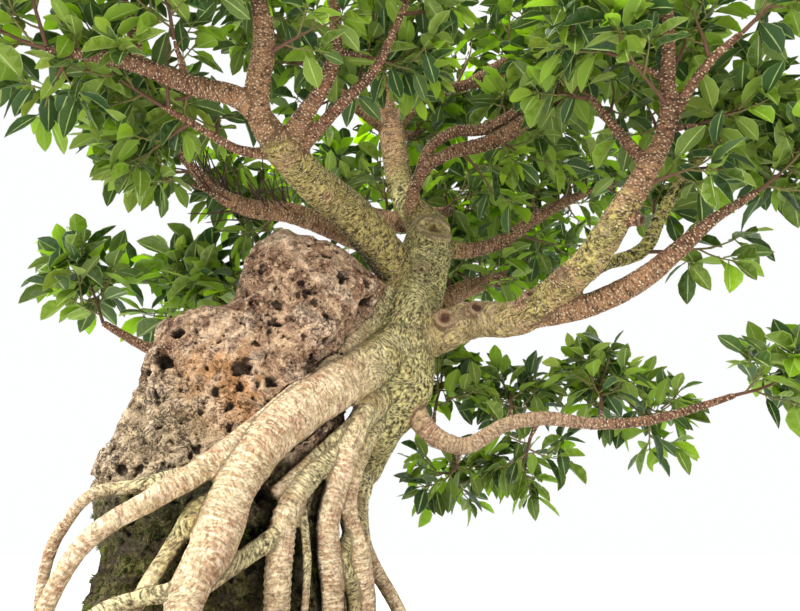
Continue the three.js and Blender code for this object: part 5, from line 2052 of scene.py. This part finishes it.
def outline(length, depth, corner, height):
    """Points round a rectangle with round corners."""
    ring = []
    for side, (x, y) in enumerate(((1, 1), (-1, 1), (-1, -1), (1, -1))):
        for step in range(CORNER_POINTS):
            turn = (side + step / (CORNER_POINTS - 1)) * math.pi / 2
            ring.append(tray_middle + Vector((
                x * (length / 2 - corner) + corner * math.cos(turn),
                y * (depth / 2 - corner) + corner * math.sin(turn), height)))
    return ring


def loft(name, rings):
    """A closed skin over a stack of rings."""
    count = len(rings[0])
    faces = [tuple(reversed(range(count)))]
    for r in range(len(rings) - 1):
        for i in range(count):
            j = (i + 1) % count
            faces.append((r * count + i, r * count + j, (r + 1) * count + j, (r + 1) * count + i))
    faces.append(tuple(range((len(rings) - 1) * count, len(rings) * count)))
    return mesh_object(name, [p for ring in rings for p in ring], faces)


def combined(thing, tool, operation):
    """The first thing joined with, or cut by, the second."""
    step = thing.modifiers.new("combine", "BOOLEAN")
    step.operation = operation
    step.solver = "EXACT"
    step.object = tool
    settle(thing)
    bpy.data.objects.remove(tool)
    return thing


print("points in the tray's profile:", len(rounded(TRAY_PROFILE)))


# %% [markdown]
# The body is a loft through one ring for each point of the rounded profile. Feet are joined
# to it and drain holes cut out of it with exact Booleans. That leaves one closed skin, as
# pressed clay has, where loose parts would show seams.

# %% Build the tray
tray = loft("tray_body", [
    outline(TRAY_SIZE[0] - 2 * p.x, TRAY_SIZE[1] - 2 * p.x, TRAY_CORNER - p.x * 0.35, p.y)
    for p in rounded(TRAY_PROFILE)])
for x in (-1, 1):
    for y in (-1, 1):
        foot = []
        for share, height in FOOT_STEPS:
            ring = outline(FOOT_SIDE * share, FOOT_SIDE * share, FOOT_CORNER, height)
            shift = Vector((x * (TRAY_SIZE[0] / 2 - FOOT_INSET - FOOT_SIDE / 2),
                            y * (TRAY_SIZE[1] / 2 - FOOT_INSET - FOOT_SIDE / 2), 0))
            foot.append([p + shift for p in ring])
        combined(tray, loft("foot", foot), "UNION")
    drain = []
    for height in (0.0, DRAIN_TOP):
        turns = [i * 2 * math.pi / DRAIN_SIDES for i in range(DRAIN_SIDES)]
        drain.append([tray_middle + Vector((
            x * DRAIN_SPACING + DRAIN_RADIUS * math.cos(t), DRAIN_RADIUS * math.sin(t), height))
            for t in turns])
    combined(tray, loft("drain", drain), "DIFFERENCE")
print("tray:", triangles(tray), "triangles")

# %% [markdown]
# Unglazed stoneware is brown and dull. It has dark specks of iron, fine lines where it was
# wiped, and a pale crust of lime near the rim, where water dries. All of that is colour and
# a slight bump, so the finish alone can do it.


# %% Stoneware finish
CLAY_DARK = paint(104, 70, 52)
CLAY_LIGHT = paint(134, 94, 70)
CLAY_WIPED = paint(82, 56, 44)
IRON_SPECK = paint(52, 38, 32)
LIME_CRUST = paint(196, 180, 156)
def stoneware():
    material, tree = finish("stoneware")
    place = object_place(tree)
    cloud = tree.noise(place, 9.0, 4.0)
    grog = tree.noise(place, 520.0, 2.0)
    speck = 1 - tree.step(tree.cells(place, 260.0), 0.10, 0.26)
    wiped = tree.noise(tree.vector("MULTIPLY", place, (14, 14, 420)), 1.0, 3.0)
    height_up = tree.parts(place)[2]
    crust = tree.step(height_up + (cloud - 0.5) * 0.03, 0.078, 0.10) * 0.35
    colour = layered(
        tree, CLAY_DARK,
        (cloud, CLAY_LIGHT), (wiped * 0.30, CLAY_WIPED), (speck * 0.45, IRON_SPECK),
        (crust * grog, LIME_CRUST))
    height = grog * 0.4 + wiped * 0.6 + cloud * 0.2
    return surfaced(material, tree, colour, 0.62 + grog * 0.2, height, 0.0006, 0.4)


dress(tray, stoneware())
tray.modifiers.new("edge", "WEIGHTED_NORMAL")
settle(tray)
tray.name = "stoneware_tray"
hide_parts("tray")
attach(tray, "root")
print("tray box:", [tuple(round(v, 3) for v in c) for c in (tray_low, tray_high)])

# %% [markdown]
# ## Soil, grit and moss
#
# Bonsai soil is fired clay grit over loam. Its skin is the frame's soil, roughened on top
# only, so the sides still fit the tray. Grains lie on it, and moss grows where it stays
# damp: in patches on the soil and on the foot of the rock itself.

# %% Soil
LOAM_DARK = paint(66, 48, 36)
LOAM_LIGHT = paint(112, 86, 62)
LOAM_DAMP = paint(50, 38, 28)
SOIL_VOXEL = 0.0045
SOIL_TRIANGLES = 30000


def soil_relief():
    tree, given = geometry_tree("soil_relief", {
        "Lumps": ("Float", 0.006), "Crumbs": ("Float", 0.004)})
    place = tree.node("GeometryNodeInputPosition")
    lumps = tree.noise(place, 24.0, 3.0) - 0.5
    crumbs = tree.noise(place, 130.0, 2.0) - 0.5
    facing = tree.parts(tree.node("GeometryNodeInputNormal"))[2]
    top = tree.step(facing, 0.6, 0.9)
    up = tree.along((0.0, 0.0, 1.0), (lumps * given["Lumps"] + crumbs * given["Crumbs"]) * top)
    moved = tree.node("GeometryNodeSetPosition", None, {"Geometry": given["Geometry"], "Offset": up})
    return finish_tree(tree, moved)


def earth():
    material, tree = finish("earth")
    place = object_place(tree)
    damp = tree.noise(place, 12.0, 4.0)
    grains = tree.cells(place, 300.0)
    tint = tree.parts(tree.cells(place, 300.0, "Color"))[0]
    colour = layered(
        tree, LOAM_DARK, (tint, LOAM_LIGHT), (tree.step(damp, 0.4, 0.6) * 0.6, LOAM_DAMP))
    return surfaced(material, tree, colour, 0.92 + damp * 0.06, 1 - grains, 0.0015, 0.2)


soil = remeshed(copy_of("soil", "soil"), SOIL_VOXEL, 2)
grow(soil, soil_relief())
thinned(soil, SOIL_TRIANGLES)
dress(soil, earth())
soil.name = "loam"
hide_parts("soil")
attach(soil, "root")
print("soil:", triangles(soil), "triangles")

# %% [markdown]
# Fired clay grit comes in worn lumps of a few millimetres. The hull of twelve points, each
# moved in or out by chance, makes one lump, and the scatter turns and sizes its copies. A
# few pale grains among them are pumice.


# %% Grit
LEVEL = 0.75
SOIL_TOP_DEPTH = 0.018
GRIT_VALUES = {"Spacing": 0.0062, "Density": 20000.0, "Smallest": 0.6, "Largest": 1.5, "Seed": 9}
GRAIN_RADIUS = 0.0024
GRAIN_DARK = paint(84, 58, 42)
GRAIN_LIGHT = paint(168, 132, 94)
PUMICE = paint(190, 182, 168)
GRAIN_DUST = paint(60, 46, 36)
def grain_mesh():
    """A worn lump with twenty faces."""
    chance = random.Random(5)
    golden = (1 + 5**0.5) / 2
    points = []
    for a, b in ((1, golden), (-1, golden), (1, -golden), (-1, -golden)):
        points += [(0, a, b), (a, b, 0), (b, 0, a)]
    points = [Vector(p).normalized() * chance.uniform(0.8, 1.2) * GRAIN_RADIUS for p in points]
    hull = mesh_object("grain", points, ())
    build = bmesh.new()
    build.from_mesh(hull.data)
    bmesh.ops.convex_hull(build, input=build.verts)
    build.to_mesh(hull.data)
    build.free()
    return hull


def grit_finish():
    material, tree = finish("grit")
    tint = attribute(tree, "tint")
    worn = tree.noise(object_place(tree), 500.0, 2.0)
    colour = layered(
        tree, GRAIN_DARK,
        (tree.step(tint, 0.45, 0.55), GRAIN_LIGHT), (tree.step(tint, 0.86, 0.9), PUMICE),
        (worn * 0.4, GRAIN_DUST))
    return surfaced(material, tree, colour, 0.85 + worn * 0.1, worn, 0.0006)


soil_up = read(soil.data.vertex_normals, "vector")[:, 2]
soil_spots = read(soil.data.vertices, "co")
clear_of_edge = (soil_up > LEVEL) * (soil_spots[:, 2] > TRAY_HEIGHT - SOIL_TOP_DEPTH)
scattered("grit", soil, clear_of_edge * 1.0, grain_mesh(), GRIT_VALUES, grit_finish())

# %% [markdown]
# Moss is thousands of short pointed shoots. A tuft of seven spikes is the smallest thing
# that reads as moss from a hand's width away. It grows low on the rock, below the damp
# edge, and in patches on the soil, thick where slow waves let it and thin between.


# %% Moss
TUFT_SPIKES = 7
SPIKE_LEAN = 0.0017
SPIKE_HEIGHT = (0.0032, 0.0046)
SPIKE_RADIUS = 0.0009
ROCK_MOSS = {"Spacing": 0.0052, "Density": 16000.0, "Smallest": 0.6, "Largest": 1.35, "Seed": 21}
SOIL_MOSS = {"Spacing": 0.0062, "Density": 12000.0, "Smallest": 0.8, "Largest": 1.5, "Seed": 22}
MOSS_DARK = paint(58, 72, 26)
MOSS_GREEN = paint(116, 130, 48)
MOSS_DRY = paint(150, 146, 62)
def tuft():
    """Seven three-sided spikes that lean apart."""
    chance = random.Random(3)
    points = []
    faces = []
    for i in range(TUFT_SPIKES):
        turn = i * GOLDEN_TURN
        lean = 0.0 if i == 0 else SPIKE_LEAN
        foot = Vector((math.cos(turn), math.sin(turn), -0.2)) * lean * 0.6
        tall = chance.uniform(*SPIKE_HEIGHT)
        peak = foot + Vector((math.cos(turn) * lean, math.sin(turn) * lean, tall))
        first = len(points)
        for side in range(3):
            around = turn + side * 2 * math.pi / 3
            points.append(foot + Vector((math.cos(around), math.sin(around), 0)) * SPIKE_RADIUS)
        points.append(peak)
        faces += [(first, first + 1, first + 3), (first + 1, first + 2, first + 3),
                  (first + 2, first, first + 3), (first + 2, first + 1, first)]
    return mesh_object("tuft", points, faces)


def moss_finish():
    material, tree = finish("moss")
    place = object_place(tree)
    tint = attribute(tree, "tint")
    drifts = tree.noise(place, 30.0, 3.0)
    fine = tree.noise(place, 900.0, 1.0)
    colour = layered(
        tree, MOSS_DARK, (tint, MOSS_GREEN), (tree.step(drifts, 0.5, 0.68) * 0.6, MOSS_DRY))
    return surfaced(material, tree, colour, 0.8 + tint * 0.15, fine, 0.0003)


MOSS = moss_finish()
rock_spots = read(rock.data.vertices, "co")
waves = (np.sin(rock_spots[:, 0] * 71) + np.sin(rock_spots[:, 1] * 83 + 2)
         + np.sin(rock_spots[:, 2] * 97 + rock_spots[:, 0] * 40)) / 3
low = eased(MOSS_LINE - rock_spots[:, 2] + waves * 0.03, -0.02, 0.05)
above_soil = rock_spots[:, 2] > TRAY_HEIGHT - 0.008
rock_moss = np.clip(low * above_soil * (0.35 + 0.65 * eased(waves, -0.3, 0.5)), 0, 1)
scattered("rock_moss", rock, rock_moss, tuft(), ROCK_MOSS, MOSS)
soil_waves = (np.sin(soil_spots[:, 0] * 31) + np.sin(soil_spots[:, 1] * 37 + 1)) / 2
soil_moss = clear_of_edge * eased(soil_waves, 0.0, 0.55)
scattered("soil_moss", soil, soil_moss, tuft(), SOIL_MOSS, MOSS)

# %% [markdown]
# ## Floor
#
# The floor is as pale as the sky and ends before the lamps' light fades on it, so the
# plant stands in a white room without a horizon.

# %% Floor
FLOOR_HALF = 2.4
floor = mesh_object("floor", [
    (-FLOOR_HALF, -FLOOR_HALF, 0), (FLOOR_HALF, -FLOOR_HALF, 0),
    (FLOOR_HALF, FLOOR_HALF, 0), (-FLOOR_HALF, FLOOR_HALF, 0)], [(0, 1, 2, 3)])
floor_finish, tree = finish("floor")
output(tree, principled(tree, (0.985, 0.99, 0.995, 1), 0.95, None, Specular_IOR_Level=0.05))
dress(floor, floor_finish)
print("floor:", 2 * FLOOR_HALF, "m across")
